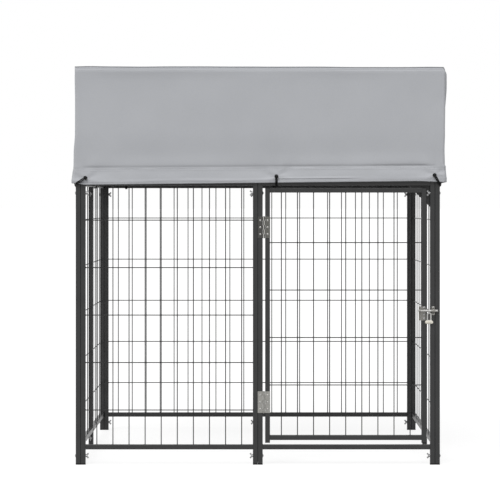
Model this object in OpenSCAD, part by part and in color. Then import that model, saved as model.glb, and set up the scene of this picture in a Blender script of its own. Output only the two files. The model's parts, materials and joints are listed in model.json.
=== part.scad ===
// Outdoor dog kennel run: eight bolted panels of square tube and welded wire, a hinged gate with
// a slide latch, and a fabric cover on a lean-to roof frame.
// Millimetres. Origin on the ground under the middle of the frame, +Z up, gate on the -Y side.

/* [Panels] */
// Outside width of the square frame tube
tube_w = 16; // [14:1:20]
// Wall of the frame tube
tube_wall = 1; // [0.8:0.1:1.5]
// Outside corner radius of the frame tube
tube_r = 2; // [1.6:0.1:3]
// Width of one panel over its two uprights
panel_w = 583; // [480:1:700]
// Height of the panels over the ground
panel_h = 934; // [800:1:1200]
// Clear height under the bottom rail
leg_h = 50; // [45:1:90]
// Gap between two uprights that are bolted together
joint_gap = 0.3; // [0.1:0.1:1]
// Root gap at a welded tube joint
weld_gap = 0.1; // [0.05:0.05:0.3]

/* [Wire mesh] */
// Diameter of the mesh wire
wire_d = 3.2; // [2:0.1:4]
// Spacing of the upright wires
wire_pitch = 53; // [40:1:80]
// Pitch of the upright wires in the side walls, which show fewer of them
side_wire_pitch = 105; // [53:1:130]
// Spacing of the cross wires
cross_pitch = 156.4; // [100:0.1:200]

/* [Plugs] */
// Thickness of a leg plug under the tube
foot_t = 4; // [3:0.5:8]
// Thickness of a plug on any other tube end
cap_t = 2; // [1:0.5:4]
// Length of a plug inside the tube
plug_len = 12; // [8:1:16]
// Gap between a plug or spigot and the bore of its tube, on each side
plug_gap = 0.2; // [0.1:0.05:0.4]

/* [Joint bolts] */
// Diameter of the carriage bolts
bolt_d = 6; // [5:0.5:6.5]
// Play of a bolt in its holes
bolt_play = 0.4; // [0.2:0.1:0.8]
// Height of the lower bolts
bolt_low = 29; // [24:1:34]
// Distance of the upper bolts below the top of the panel
bolt_drop = 40; // [40:1:50]
// Diameter of the bolt head
head_d = 12; // [10:0.5:14]
// Height of the bolt head
head_h = 3; // [2:0.5:4]
// Diameter of the hub of a wing nut
nut_d = 9.5; // [8.5:0.5:11]
// Height of the hub of a wing nut
nut_h = 5.5; // [4:0.5:7]
// Reach of a wing from the axis of its nut
wing_reach = 9; // [8:0.5:12]
// Height of the wings over the face that the nut sits on
wing_h = 10.5; // [8:0.5:11]
// Thickness of the wings
wing_t = 2.4; // [1.6:0.2:3]

/* [Gate] */
// Gap on the hinge side of the gate
hinge_gap = 8; // [7:0.5:10]
// Gap on the latch side of the gate
latch_gap = 12; // [12:0.5:18]
// Gap over the gate
gate_top_gap = 6.5; // [6:0.5:20]
// Gap under the gate
gate_foot_gap = 6; // [4:1:20]
// Length of the stiles under the bottom rail of the gate
stile_drop = 9; // [4:1:20]
// Reach of the stop plate along the top and the post from the inner corner of the gate's surround
stop_reach = 69; // [50:1:90]
// Width of the stop plate's fixing strips on the tubes
stop_lap = 10; // [8:0.5:12]
// Thickness of the stop plate
stop_t = 2; // [1.5:0.5:4]
// Gap between the shut gate and the stop plate
stop_gap = 1.2; // [0.8:0.1:2]

/* [Hinges] */
// Height of a hinge
hinge_h = 71; // [60:1:90]
// Height of the lower hinge's middle over the foot of the gate
hinge_rise = 134; // [80:1:240]
// Depth of the upper hinge's middle under the top of the gate
hinge_drop = 130; // [80:1:240]
// Reach of a leaf from the pin
leaf_w = 20.5; // [19:0.5:23]
// Thickness of a leaf
leaf_t = 2; // [1.5:0.1:2.5]
// Outside diameter of the knuckles
knuckle_d = 7; // [6.6:0.1:7]
// Diameter of the pin
pin_d = 4; // [3:0.1:4.2]
// Radial play of the pin
pin_play = 0.06; // [0.02:0.01:0.1]
// Gap between two knuckles
knuckle_gap = 0.4; // [0.2:0.1:0.8]

/* [Rivets] */
// Diameter of a rivet's shank
rivet_d = 4; // [3:0.1:5]
// Diameter of a rivet's head
rivet_head_d = 6.6; // [5.5:0.1:7]
// Height of a rivet's head
rivet_head_h = 1.4; // [1:0.1:1.6]
// Play of a rivet in its hole
rivet_play = 0.1; // [0.05:0.05:0.3]
// Length of a rivet inside the tube
rivet_tail = 2.5; // [1:0.5:4]

/* [Latch] */
// Height of the bolt rod
latch_z = 507; // [420:1:600]
// Diameter of the bolt rod
rod_d = 8; // [7:0.5:9]
// Radial play of the rod in its guide
rod_play = 0.08; // [0.03:0.01:0.1]
// Gap between the rod and the latch plate
rod_lift = 1.8; // [1.4:0.1:3]
// Radial play of the rod in the keeper
keeper_play = 0.5; // [0.3:0.1:1]
// Reach of the shut rod past the edge of the doorway
rod_reach = 25; // [23:0.5:27]
// Reach of the rod behind the latch plate
rod_tail = 1.6; // [1:0.2:6]
// Width of the latch plate
plate_w = 23; // [22:0.5:25]
// Height of the latch plate over the rod
plate_rise = 14; // [13:0.5:18]
// Height of the latch plate under the rod
plate_drop = 32; // [30:1:40]
// Thickness of the latch plate, the guide and the keeper
plate_t = 1.8; // [1.5:0.1:2.2]
// Distance of the latch plate from the edge of its stile
plate_inset = 3; // [2:0.5:4]
// Length of the guide on the latch plate
guide_len = 5.4; // [4:0.2:5.6]
// Width of the keeper
keeper_w = 11; // [9:0.5:11]
// Height of the keeper
keeper_h = 29; // [27:0.5:36]
// Distance of the keeper from the edge of the doorway
keeper_inset = 4.4; // [4:0.2:5]
// Width of the hanging pull
pull_w = 16; // [14:0.5:18]
// Thickness of the hanging pull
pull_t = 2.5; // [2:0.1:3]
// Height of the pull under the rod, down to the grip
pull_drop = 31.5; // [30:0.5:38]
// Width of the slot in the pull
slot_w = 6.7; // [5:0.1:8]
// Width of the eye of the pull
eye_w = 5.8; // [5:0.1:6]
// Depth of the groove that keeps the eye on the rod
groove = 0.5; // [0.3:0.1:0.8]
// Width of the grip
grip_w = 26; // [22:0.5:28]
// Height of the grip
grip_h = 12; // [10:0.5:16]
// Thickness of the grip
grip_t = 7; // [6:0.2:7]
// Fullness of the grip, less for squarer corners
grip_bend = 0.7; // [0.5:0.05:1]

/* [Roof frame] */
// Height of the front of the roof frame over the panels
front_rise = 373; // [250:1:500]
// Height of the back of the roof frame over the panels
back_rise = 70; // [66:1:140]
// Length of a spigot inside its upright
spigot_len = 32; // [24:1:34]
// Wall of a spigot
spigot_wall = 1; // [0.8:0.1:1.5]
// Thickness of the plates at the rafters' ends
foot_plate_t = 2; // [1.5:0.1:3]
// Reach of a rafter's plate past the side of the rafter
foot_plate_reach = 16; // [14:1:24]
// Diameter of the rafter screws
screw_d = 5; // [4:0.5:6]
// Length of a rafter screw inside its bar
screw_tail = 4; // [2:0.5:8]

/* [Cover] */
// Thickness of the cover cloth
cloth_t = 1.2; // [1:0.1:2]
// Gap between the cloth and the frame under it
cloth_gap = 0.4; // [0.2:0.1:1]
// Slack of the cover at the sides of the frame
side_slack = 5; // [2:0.5:12]
// Height of the hem band
hem_h = 53; // [45:1:60]
// Distance of the hem's edge below the top of the panels
hem_drop = 8; // [4:1:10]
// Extra thickness of the folded hem
hem_fold = 2; // [1:0.5:3]
// Distance that the hem stands out from the cloth over it
hem_flare = 5; // [3:0.5:10]
// Height over which the cloth swings out to the hem
flare_h = 120; // [60:1:200]
// Gap along the seams
seam_gap = 0.3; // [0.1:0.1:0.5]

/* [Bungees] */
// Diameter of a bungee ball
ball_d = 12.7; // [10:0.1:16]
// Diameter of the elastic cord
cord_d = 3.6; // [2.5:0.1:4]
// Gap between a cord and what it goes round
cord_gap = 0.4; // [0.3:0.1:0.8]
// Inside diameter of an eyelet
eyelet_d = 7; // [6:0.5:9]
// Outside diameter of an eyelet
eyelet_flange_d = 13; // [12:0.5:16]
// Height of the straight bungees over the edge of the hem
ball_rise = 23; // [20:1:30]
// Distance of the middle bungees of the front and back from the middle of the frame
middle_ball_x = 61; // [40:1:120]
// Distance of the side bungees from the middle of the frame
side_ball_y = 134; // [100:1:170]
// Distance of the outer back bungees from the side of the frame
back_ball_inset = 99.5; // [60:0.5:200]
// Distance of the left front bungee from the side of the frame
left_ball_inset = 32.5; // [20:0.5:60]
// Distance of the right front bungee from the side of the frame
right_ball_inset = 18.5; // [14:0.5:60]
// Height of the left front bungee under the straight ones
left_ball_drop = 5; // [0:0.5:6]
// Height of the right front bungee over the straight ones
right_ball_rise = 4; // [0:0.5:12]

/* [Hidden] */
$fn = 48;
skin = 0.2;
rail_z = panel_h - tube_w;
bore_w = tube_w - 2 * tube_wall;
bore_r = max(tube_r - tube_wall, tube_wall / 4);
fit_w = bore_w - 2 * plug_gap;
window_w = panel_w - 2 * tube_w;
window_h = rail_z - leg_h - tube_w;
half_w = panel_w + joint_gap / 2;
wall_y = half_w - tube_w / 2;
side_x = half_w + joint_gap + tube_w / 2;
frame_half_w = side_x + tube_w / 2;
mid_x = joint_gap / 2 + tube_w / 2;
bolt_high = panel_h - bolt_drop;
wire_shift = 0.44 * wire_d;

gate_x = joint_gap / 2 + tube_w + hinge_gap;
gate_w = window_w - hinge_gap - latch_gap;
gate_z = leg_h + tube_w + gate_foot_gap;
gate_top = rail_z - gate_top_gap;
gate_rail_z = gate_z + stile_drop;
gate_window_w = gate_w - 2 * tube_w;
gate_window_h = gate_top - tube_w - gate_rail_z - tube_w;
gate_edge = gate_x + gate_w;

pin_x = gate_x - hinge_gap / 2;
pin_y = -half_w - knuckle_d / 2;
knuckles = 5;
knuckle_h = hinge_h / knuckles;
hinge_low = gate_z + hinge_rise;
hinge_high = gate_top - hinge_drop;
hinge_heights = [hinge_low, hinge_high];
leaf_rivet_x = hinge_gap / 2 + tube_w / 2;
leaf_rivet_step = 0.32 * hinge_h;
leaf_rivet_zs = [-leaf_rivet_step, 0, leaf_rivet_step];

rod_y = -half_w - plate_t - rod_lift - rod_d / 2;
door_edge = half_w - tube_w;
plate_x = gate_edge - plate_inset - plate_w;
plate_rivet_x = gate_edge - tube_w / 2;
plate_rivet_zs = [plate_rise - rivet_head_d / 2 - 0.8, -0.4 * plate_drop, -0.8 * plate_drop];
rod_x = plate_x - rod_tail;
rod_len = door_edge + rod_reach - rod_x;
eye_x = door_edge - latch_gap / 2 + 2;
keeper_x = door_edge + keeper_inset;
keeper_rivet_z = keeper_h / 2 - rivet_head_d / 2 - 0.6;

roof_front = panel_h + front_rise;
roof_back = panel_h + back_rise;
bar_y = half_w - tube_w;
roof_run = bar_y + half_w;
roof_fall = (roof_front - roof_back) / roof_run;
roof_angle = atan(roof_fall);
rafter_drop = (tube_w / 2 + 1) / cos(roof_angle);
foot_plate_h = tube_w - foot_plate_t * roof_fall;
hoop_bolt_z = panel_h + front_rise / 2;
plate_reach = tube_w / 2 + foot_plate_reach;
screw_reach = tube_w / 2 + foot_plate_reach / 2;
side_screw_x = side_x - screw_reach;

hem_z = panel_h - hem_drop;
hem_top = hem_z + hem_h;
flare_top = hem_top + flare_h;
cover_x = frame_half_w + side_slack;
cover_y = half_w + cloth_gap;
hem_out = hem_flare + cloth_t + hem_fold;
eyelet_z = hem_z + ball_rise;
back_ball_x = frame_half_w - back_ball_inset;
straight_front = [middle_ball_x];
straight_back = [-back_ball_x, middle_ball_x, back_ball_x];
corner_balls = [
    [left_ball_inset - frame_half_w, -left_ball_drop], [frame_half_w - right_ball_inset, right_ball_rise]
];

tube_colour = [0.13, 0.13, 0.14];
wire_colour = [0.3, 0.3, 0.31];
plastic_colour = [0.06, 0.06, 0.06];
zinc_colour = [0.62, 0.61, 0.58];
cloth_colour = [0.66, 0.67, 0.7];
grip_colour = [0.88, 0.86, 0.8];

// Square with round corners
module rounded_square(size, radius) {
    square([size, size - 2 * radius], center = true);
    square([size - 2 * radius, size], center = true);
    for (x = [-1, 1], y = [-1, 1])
        translate([x, y] * (size / 2 - radius)) circle(radius);
}

// Frame tube along +Z
module frame_tube(length) {
    linear_extrude(length)
        difference() {
            rounded_square(tube_w, tube_r);
            rounded_square(bore_w, bore_r);
        }
}

// Frame tube along +X
module rail(length) {
    rotate([0, 90, 0]) frame_tube(length);
}

// Low round head on the XY plane
module dome(d, h) {
    ball_r = (d * d / 4 + h * h) / (2 * h);
    intersection() {
        translate([0, 0, h - ball_r]) sphere(ball_r);
        cylinder(d = 2 * d, h = h + 1);
    }
}

// Panels

// Upright with its two bolt holes along +X, or along +Y where turn is 90
module upright(turn) {
    difference() {
        translate([0, 0, foot_t]) frame_tube(panel_h - foot_t);
        for (z = [bolt_low, bolt_high])
            translate([0, 0, z]) rotate([90, 0, turn + 90])
                cylinder(d = bolt_d + bolt_play, h = 2 * tube_w, center = true);
    }
}

// Panel along +X, with the turn of the bolt holes in its first and its last upright
module panel_frame(first_turn, last_turn) {
    color(tube_colour) {
        translate([tube_w / 2, 0, 0]) upright(first_turn);
        translate([panel_w - tube_w / 2, 0, 0]) upright(last_turn);
        for (z = [leg_h, rail_z])
            translate([tube_w + weld_gap, 0, z + tube_w / 2]) rail(window_w - 2 * weld_gap);
    }
}

function wire_count(span, pitch) = floor(span / pitch - 0.2);

function wire_places(span, pitch) =
    let (count = wire_count(span, pitch))
    [for (i = [0 : count - 1]) span / 2 + (i - (count - 1) / 2) * pitch];

// Welded wires that fill a window of w by h, with upright wires at a pitch
module wire_mesh(w, h, pitch) {
    color(wire_colour) {
        for (x = wire_places(w, pitch))
            translate([x, -wire_shift, 0]) cylinder(d = wire_d, h = h, $fn = 24);
        for (z = wire_places(h, cross_pitch))
            translate([0, wire_shift, z]) rotate([0, 90, 0]) cylinder(d = wire_d, h = w, $fn = 24);
    }
}

module panel_mesh(pitch) {
    translate([tube_w, 0, leg_h + tube_w]) wire_mesh(window_w, window_h, pitch);
}

module at_front_left() {
    translate([-half_w, -wall_y, 0]) children();
}

module at_front_right() {
    translate([joint_gap / 2, -wall_y, 0]) children();
}

module at_back_left() {
    translate([-half_w, wall_y, 0]) children();
}

module at_back_right() {
    translate([joint_gap / 2, wall_y, 0]) children();
}

// Side of the run: side is -1 on the left and 1 on the right
module at_side_front(side) {
    translate([side * side_x, -half_w, 0]) rotate([0, 0, 90]) children();
}

module at_side_back(side) {
    translate([side * side_x, joint_gap / 2, 0]) rotate([0, 0, 90]) children();
}

module front_panel_frame() {
    at_front_left() panel_frame(0, 0);
}

module front_panel_mesh() {
    at_front_left() panel_mesh(wire_pitch);
}

module gate_surround() {
    difference() {
        at_front_right() panel_frame(0, 0);
        hinge_rivet_holes(-1);
        keeper_rivet_holes();
    }
}

// Corner plate behind the gate, on two strips, that the shut gate comes to rest against
module gate_stop() {
    left = door_edge - stop_reach;
    right = door_edge + stop_lap;
    low = rail_z - stop_reach;
    high = rail_z + stop_lap;
    color(tube_colour) {
        translate([0, -bar_y + stop_gap + stop_t, 0]) rotate([90, 0, 0])
            linear_extrude(stop_t)
                polygon([[left, high], [left, rail_z], [door_edge, low], [right, low], [right, high]]);
        translate([left, -bar_y, rail_z]) cube([right - left, stop_gap - weld_gap, stop_lap]);
        translate([door_edge, -bar_y, low]) cube([stop_lap, stop_gap - weld_gap, stop_reach - weld_gap]);
    }
}

module back_left_panel_frame() {
    at_back_left() panel_frame(0, 0);
}

module back_left_panel_mesh() {
    at_back_left() panel_mesh(wire_pitch);
}

module back_right_panel_frame() {
    at_back_right() panel_frame(0, 0);
}

module back_right_panel_mesh() {
    at_back_right() panel_mesh(wire_pitch);
}

module left_front_panel_frame() {
    at_side_front(-1) panel_frame(90, 0);
}

module left_front_panel_mesh() {
    at_side_front(-1) panel_mesh(side_wire_pitch);
}

module left_back_panel_frame() {
    at_side_back(-1) panel_frame(0, 90);
}

module left_back_panel_mesh() {
    at_side_back(-1) panel_mesh(side_wire_pitch);
}

module right_front_panel_frame() {
    at_side_front(1) panel_frame(90, 0);
}

module right_front_panel_mesh() {
    at_side_front(1) panel_mesh(side_wire_pitch);
}

module right_back_panel_frame() {
    at_side_back(1) panel_frame(0, 90);
}

module right_back_panel_mesh() {
    at_side_back(1) panel_mesh(side_wire_pitch);
}

// Plugs

// Plug for a tube end at z = 0, with the tube above it
module tube_plug(flange) {
    color(plastic_colour) {
        translate([0, 0, -flange]) linear_extrude(flange) rounded_square(tube_w, tube_r);
        linear_extrude(plug_len) rounded_square(fit_w, bore_r);
    }
}

// Uprights of the front and back walls, and those of the side walls
wall_uprights = [for (x = [-wall_y, -mid_x, mid_x, wall_y], y = [-wall_y, wall_y]) [x, y]];
side_uprights = [for (x = [-side_x, side_x], y = [-wall_y, -mid_x, mid_x, wall_y]) [x, y]];

function carries_hoop(p) = abs(p.x) == side_x ? abs(p.y) == wall_y : abs(p.x) == mid_x;

module leg_plugs() {
    for (p = concat(wall_uprights, side_uprights))
        translate([p.x, p.y, foot_t]) tube_plug(foot_t);
}

module top_plugs() {
    for (p = concat(wall_uprights, side_uprights))
        if (!carries_hoop(p))
            translate([p.x, p.y, panel_h]) mirror([0, 0, 1]) tube_plug(cap_t);
}

// Bolts and wing nuts

// Each joint: place of the nut's seat, and the turn about Z that points the bolt's axis out of the nut
bolt_span = 2 * tube_w + joint_gap;
inner_face = wall_y - tube_w / 2;
corner_joints = [for (x = [-1, 1], y = [-wall_y, wall_y]) [x * inner_face, y, x < 0 ? 0 : 180]];
centre_joints = [for (y = [-wall_y, wall_y]) [-mid_x - tube_w / 2, y, 180]];
side_joints = [for (x = [-side_x, side_x]) [x, -mid_x - tube_w / 2, -90]];
joint_places = concat(corner_joints, centre_joints, side_joints);
panel_joints = [for (j = joint_places, z = [bolt_low, bolt_high]) [j.x, j.y, z, j.z]];
hoop_joints = [[-mid_x - tube_w / 2, -wall_y, hoop_bolt_z, 180]];

module at_joints() {
    for (j = concat(panel_joints, hoop_joints))
        translate([j[0], j[1], j[2]]) rotate([0, 0, j[3]]) rotate([0, 90, 0]) children();
}

module panel_bolts() {
    color(zinc_colour)
        at_joints() {
            translate([0, 0, -bolt_span]) cylinder(d = bolt_d, h = bolt_span + nut_h + 1.5);
            translate([0, 0, -bolt_span]) mirror([0, 0, 1]) dome(head_d, head_h);
        }
}

// Wing in the plane of the nut's axis
module wing() {
    tip_r = 0.28 * wing_h;
    polygon([
        [nut_d / 2 - 1.2, 0.6],
        [nut_d / 2 - 1.2, nut_h],
        [wing_reach - tip_r, wing_h],
        [wing_reach - tip_r, wing_h - 2 * tip_r]
    ]);
    translate([wing_reach - tip_r, wing_h - tip_r]) circle(tip_r);
}

module wing_nuts() {
    color(zinc_colour)
        at_joints()
            difference() {
                union() {
                    cylinder(d = nut_d, h = nut_h);
                    for (turn = [0, 180])
                        rotate([90, 0, turn]) linear_extrude(wing_t, center = true) wing();
                }
                translate([0, 0, -1]) cylinder(d = bolt_d + skin, h = wing_h + 2);
            }
}

// Roof frame

// Leg that plugs into an upright at z = 0
module hoop_leg(length) {
    spigot_bore = fit_w - 2 * spigot_wall;
    frame_tube(length);
    linear_extrude(tube_wall)
        difference() {
            square(tube_w - tube_wall, center = true);
            square(spigot_bore, center = true);
        }
    translate([0, 0, -spigot_len])
        linear_extrude(spigot_len)
            difference() {
                rounded_square(fit_w, bore_r);
                square(spigot_bore, center = true);
            }
}

// Hoop on one half of a wall: side is -1 or 1, rise its height over the panels
module hoop(side, y, rise, drilled) {
    leg = rise - tube_w - weld_gap;
    bar = frame_half_w - joint_gap / 2;
    color(tube_colour) {
        translate([side * side_x, y, panel_h]) hoop_leg(leg);
        difference() {
            translate([side * mid_x, y, panel_h]) hoop_leg(leg);
            if (drilled)
                translate([side * mid_x, y, hoop_bolt_z]) rotate([0, 90, 0])
                    cylinder(d = bolt_d + bolt_play, h = 2 * tube_w, center = true);
        }
        difference() {
            translate([side > 0 ? joint_gap / 2 : -frame_half_w, y, panel_h + rise - tube_w / 2]) rail(bar);
            for (x = [screw_reach, side_screw_x])
                translate([side * x, sign(y) * bar_y, panel_h + rise - tube_w / 2]) rotate([90, 0, 0])
                    cylinder(d = screw_d + bolt_play, h = 4 * tube_wall, center = true);
        }
    }
}

module front_left_hoop() {
    hoop(-1, -wall_y, front_rise, true);
}

module front_right_hoop() {
    hoop(1, -wall_y, front_rise, true);
}

module back_left_hoop() {
    hoop(-1, wall_y, back_rise, false);
}

module back_right_hoop() {
    hoop(1, wall_y, back_rise, false);
}

function roof_line(y) = roof_front - (y + bar_y) * roof_fall;

// Plates at the front and back end of a rafter: place, top of the bar that carries each, and direction
foot_plates = [[-bar_y, roof_front, 1], [bar_y, roof_back, -1]];

// Rafter at x, with plates that reach from x0 to x1 and a screw hole at each of screws
module rafter(x, x0, x1, screws) {
    tube_end = bar_y - foot_plate_t - weld_gap;
    length = 2 * roof_run;
    color(tube_colour) {
        intersection() {
            translate([x, 0, roof_line(0) - rafter_drop])
                rotate([-90 - roof_angle, 0, 0])
                    translate([0, 0, -length / 2]) frame_tube(length);
            translate([x - tube_w, -tube_end, panel_h]) cube([2 * tube_w, 2 * tube_end, 2 * front_rise]);
        }
        for (plate = foot_plates)
            difference() {
                translate([x0, min(plate[0], plate[0] + plate[2] * foot_plate_t), plate[1] - tube_w])
                    cube([x1 - x0, foot_plate_t, foot_plate_h]);
                for (s = screws)
                    translate([s, plate[0], plate[1] - tube_w / 2]) rotate([90, 0, 0])
                        cylinder(d = screw_d + bolt_play, h = 4 * foot_plate_t, center = true);
            }
    }
}

module left_rafter() {
    rafter(-side_x, -frame_half_w, -side_x + plate_reach, [-side_screw_x]);
}

module centre_rafter() {
    rafter(0, -plate_reach, plate_reach, [-screw_reach, screw_reach]);
}

module right_rafter() {
    rafter(side_x, side_x - plate_reach, frame_half_w, [side_screw_x]);
}

module rafter_screws() {
    color(zinc_colour)
        for (plate = foot_plates, s = [-side_screw_x, -screw_reach, screw_reach, side_screw_x])
            translate([s, plate[0], plate[1] - tube_w / 2]) rotate([-90 * plate[2], 0, 0]) {
                translate([0, 0, -tube_wall - screw_tail])
                    cylinder(d = screw_d, h = foot_plate_t + tube_wall + screw_tail);
                translate([0, 0, foot_plate_t]) dome(2 * screw_d, 0.5 * screw_d);
            }
}

// Cover

// Section of a hanging side of the cover: x is the distance out from the cloth's inner face at the top
module drop_section(top) {
    polygon([
        [0, top],
        [cloth_t, top],
        [cloth_t, min(flare_top, top)],
        [hem_flare + cloth_t, hem_top + hem_fold],
        [hem_out, hem_top - hem_fold],
        [hem_out, hem_z],
        [hem_flare, hem_z],
        [hem_flare, hem_top],
        [0, min(flare_top, top - cloth_t)]
    ]);
}

// Height of the cloth's underside over the roof frame
function cloth_under(y) = roof_line(max(y, -bar_y)) + cloth_gap;

// Half outline of the front or back cloth, whose edge follows the flare of the sides
module drop_outline(top) {
    edge = cover_x + cloth_t;
    polygon([
        for (s = [1, -1])
            each (s > 0
                ? [[edge + hem_out - cloth_t, hem_z], [edge + hem_out - cloth_t, hem_top - hem_fold],
                   [edge + hem_flare, hem_top + hem_fold], [edge, min(flare_top, top)], [edge, top]]
                : [[-edge, top], [-edge, min(flare_top, top)], [-edge - hem_flare, hem_top + hem_fold],
                   [-edge - hem_out + cloth_t, hem_top - hem_fold], [-edge - hem_out + cloth_t, hem_z]])
    ]);
}

// Front or back cloth: side is -1 at the front and 1 at the back
module wall_cloth(side, top) {
    reach = 2 * cover_x;
    color(cloth_colour)
        difference() {
            intersection() {
                translate([-reach, side * cover_y, 0])
                    rotate([90, 0, 90]) linear_extrude(2 * reach)
                        mirror([side < 0 ? 1 : 0, 0]) drop_section(top);
                translate([0, side * cover_y, 0]) rotate([90, 0, 0])
                    linear_extrude(6 * hem_out, center = true) drop_outline(top);
            }
            eyelet_holes();
        }
}

module cover_front() {
    wall_cloth(-1, cloth_under(-cover_y) - seam_gap);
}

module cover_back() {
    wall_cloth(1, cloth_under(cover_y) - seam_gap - cloth_t * roof_fall);
}

module cover_roof() {
    edge = cover_x + cloth_t;
    lip = cover_y + cloth_t;
    under = [[-lip, cloth_under(-lip)], [-bar_y, cloth_under(-bar_y)], [lip, cloth_under(lip)]];
    color(cloth_colour)
        translate([-edge, 0, 0]) rotate([90, 0, 90])
            linear_extrude(2 * edge)
                polygon(concat(under, [for (i = [2, 1, 0]) under[i] + [0, cloth_t]]));
}

// Side cloth: side is -1 on the left and 1 on the right
module side_cloth(side) {
    front = -cover_y + seam_gap;
    back = cover_y - seam_gap;
    color(cloth_colour)
        difference() {
            intersection() {
                translate([side * cover_x, back + hem_out, 0])
                    rotate([90, 0, 0]) linear_extrude(2 * cover_y + 2 * hem_out)
                        mirror([side < 0 ? 1 : 0, 0]) drop_section(roof_front);
                translate([side * cover_x, 0, 0]) rotate([90, 0, 90])
                    linear_extrude(6 * hem_out, center = true)
                        polygon([
                            [front - hem_flare, hem_z],
                            [front - hem_flare, hem_top],
                            [front, flare_top],
                            [front, cloth_under(front) - seam_gap],
                            [-bar_y, cloth_under(-bar_y) - seam_gap],
                            [back, cloth_under(back) - seam_gap],
                            [back, min(flare_top, cloth_under(cover_y) - hem_flare)],
                            [back + hem_flare, hem_top],
                            [back + hem_flare, hem_z]
                        ]);
            }
            eyelet_holes();
        }
}

module cover_left_side() {
    side_cloth(-1);
}

module cover_right_side() {
    side_cloth(1);
}

// Bungees

hem_face_y = cover_y + hem_out;
hem_face_x = cover_x + hem_out;

// Places of the eyelets on the outer face of the hem: x, y, z and the turn about Z that points outward
eyelets = concat(
    [for (x = straight_front) [x, -hem_face_y, eyelet_z, -90]],
    [for (b = corner_balls) [b.x, -hem_face_y, eyelet_z + b.y, -90]],
    [for (x = straight_back) [x, hem_face_y, eyelet_z, 90]],
    [for (side = [-1, 1]) [side * hem_face_x, side_ball_y, eyelet_z, side < 0 ? 180 : 0]]
);
hem_t = cloth_t + hem_fold;
barrel_d = eyelet_d + 1.6;

// Frame of an eyelet, with +Z out of the hem and the hem's outer face at z = 0
module at_eyelets() {
    for (e = eyelets)
        translate([e[0], e[1], e[2]]) rotate([0, 0, e[3]]) rotate([0, 90, 0]) children();
}

module eyelet_holes() {
    at_eyelets() cylinder(d = barrel_d + skin, h = 4 * hem_t, center = true);
}

module hem_eyelets() {
    lip = 0.7;
    color(zinc_colour)
        at_eyelets()
            rotate_extrude()
                difference() {
                    translate([eyelet_d / 2, -hem_t - lip])
                        square([(eyelet_flange_d - eyelet_d) / 2, hem_t + 2 * lip]);
                    translate([barrel_d / 2, -hem_t]) square([eyelet_flange_d, hem_t]);
                }
}

ball_out = ball_d / 2 + 1;

module bungee_balls() {
    color(plastic_colour)
        at_eyelets()
            translate([0, 0, ball_out])
                difference() {
                    sphere(d = ball_d);
                    translate([0, 0, -ball_d]) cylinder(d = cord_d + 2 * cord_gap, h = ball_d);
                }
}

// Tube along a list of points, with flat ends square to its first and last stretch
function unit(v) = v / norm(v);

function tangent(path, i) =
    unit(path[min(i + 1, len(path) - 1)] - path[max(i - 1, 0)]);

function carried(side, along) = unit(side - (side * along) * along);

function side_axes(path, i = 0, side = [0.31, 0.52, 0.8]) =
    i == len(path) ? [] :
    let (next = carried(side, tangent(path, i)))
    concat([next], side_axes(path, i + 1, next));

module swept_cord(path, d) {
    sides = 8;
    rings = len(path);
    axes = side_axes(path);
    points = [
        for (i = [0 : rings - 1], k = [0 : sides - 1])
            let (a = axes[i], b = cross(tangent(path, i), a), turn = 360 * k / sides)
            path[i] + d / 2 * (a * cos(turn) + b * sin(turn))
    ];
    walls = [
        for (i = [0 : rings - 2], k = [0 : sides - 1])
            let (a = i * sides + k, b = i * sides + (k + 1) % sides)
            each [[a, a + sides, b], [b, a + sides, b + sides]]
    ];
    last = (rings - 1) * sides;
    ends = [for (k = [1 : sides - 2]) each [[0, k, k + 1], [last, last + k + 1, last + k]]];
    polyhedron(points, concat(walls, ends));
}

wrap = cord_d / 2 + cord_gap;

// Route in the plane of an eyelet, as [distance out from the face of the rail, height]
function rail_route(hem_face, z) =
    let (
        ball = hem_face + ball_out,
        under = rail_z - wrap,
        front = hem_face + wrap
    )
    [
        [ball - 1, z], [hem_face - 1, z], [wrap, z - 1], [-0.55 * tube_w, panel_h + cap_t + 1.6 * wrap],
        [-tube_w - 0.8 * wrap, panel_h + wrap], [-tube_w - 1.2 * wrap, panel_h - 0.4 * tube_w],
        [-tube_w - wrap, rail_z + 0.2 * tube_w], [-tube_w - 0.4 * wrap, under + 0.8], [-0.75 * tube_w, under],
        [-0.2 * tube_w, under], [0.8 * wrap, under + 0.6], [1.6 * wrap, rail_z + 1],
        [front - 0.6, hem_z - 0.9 * wrap], [front + 0.5, hem_z + 2.5],
        [0.4 * front + 0.6 * ball, z - 0.5 * ball_d - 4.2], [ball, z - 0.5 * ball_d - 0.3]
    ];

function place_route(route, at, out) = [for (p = route) [at.x + out.x * p.x, at.y + out.y * p.x, p.y]];

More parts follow.
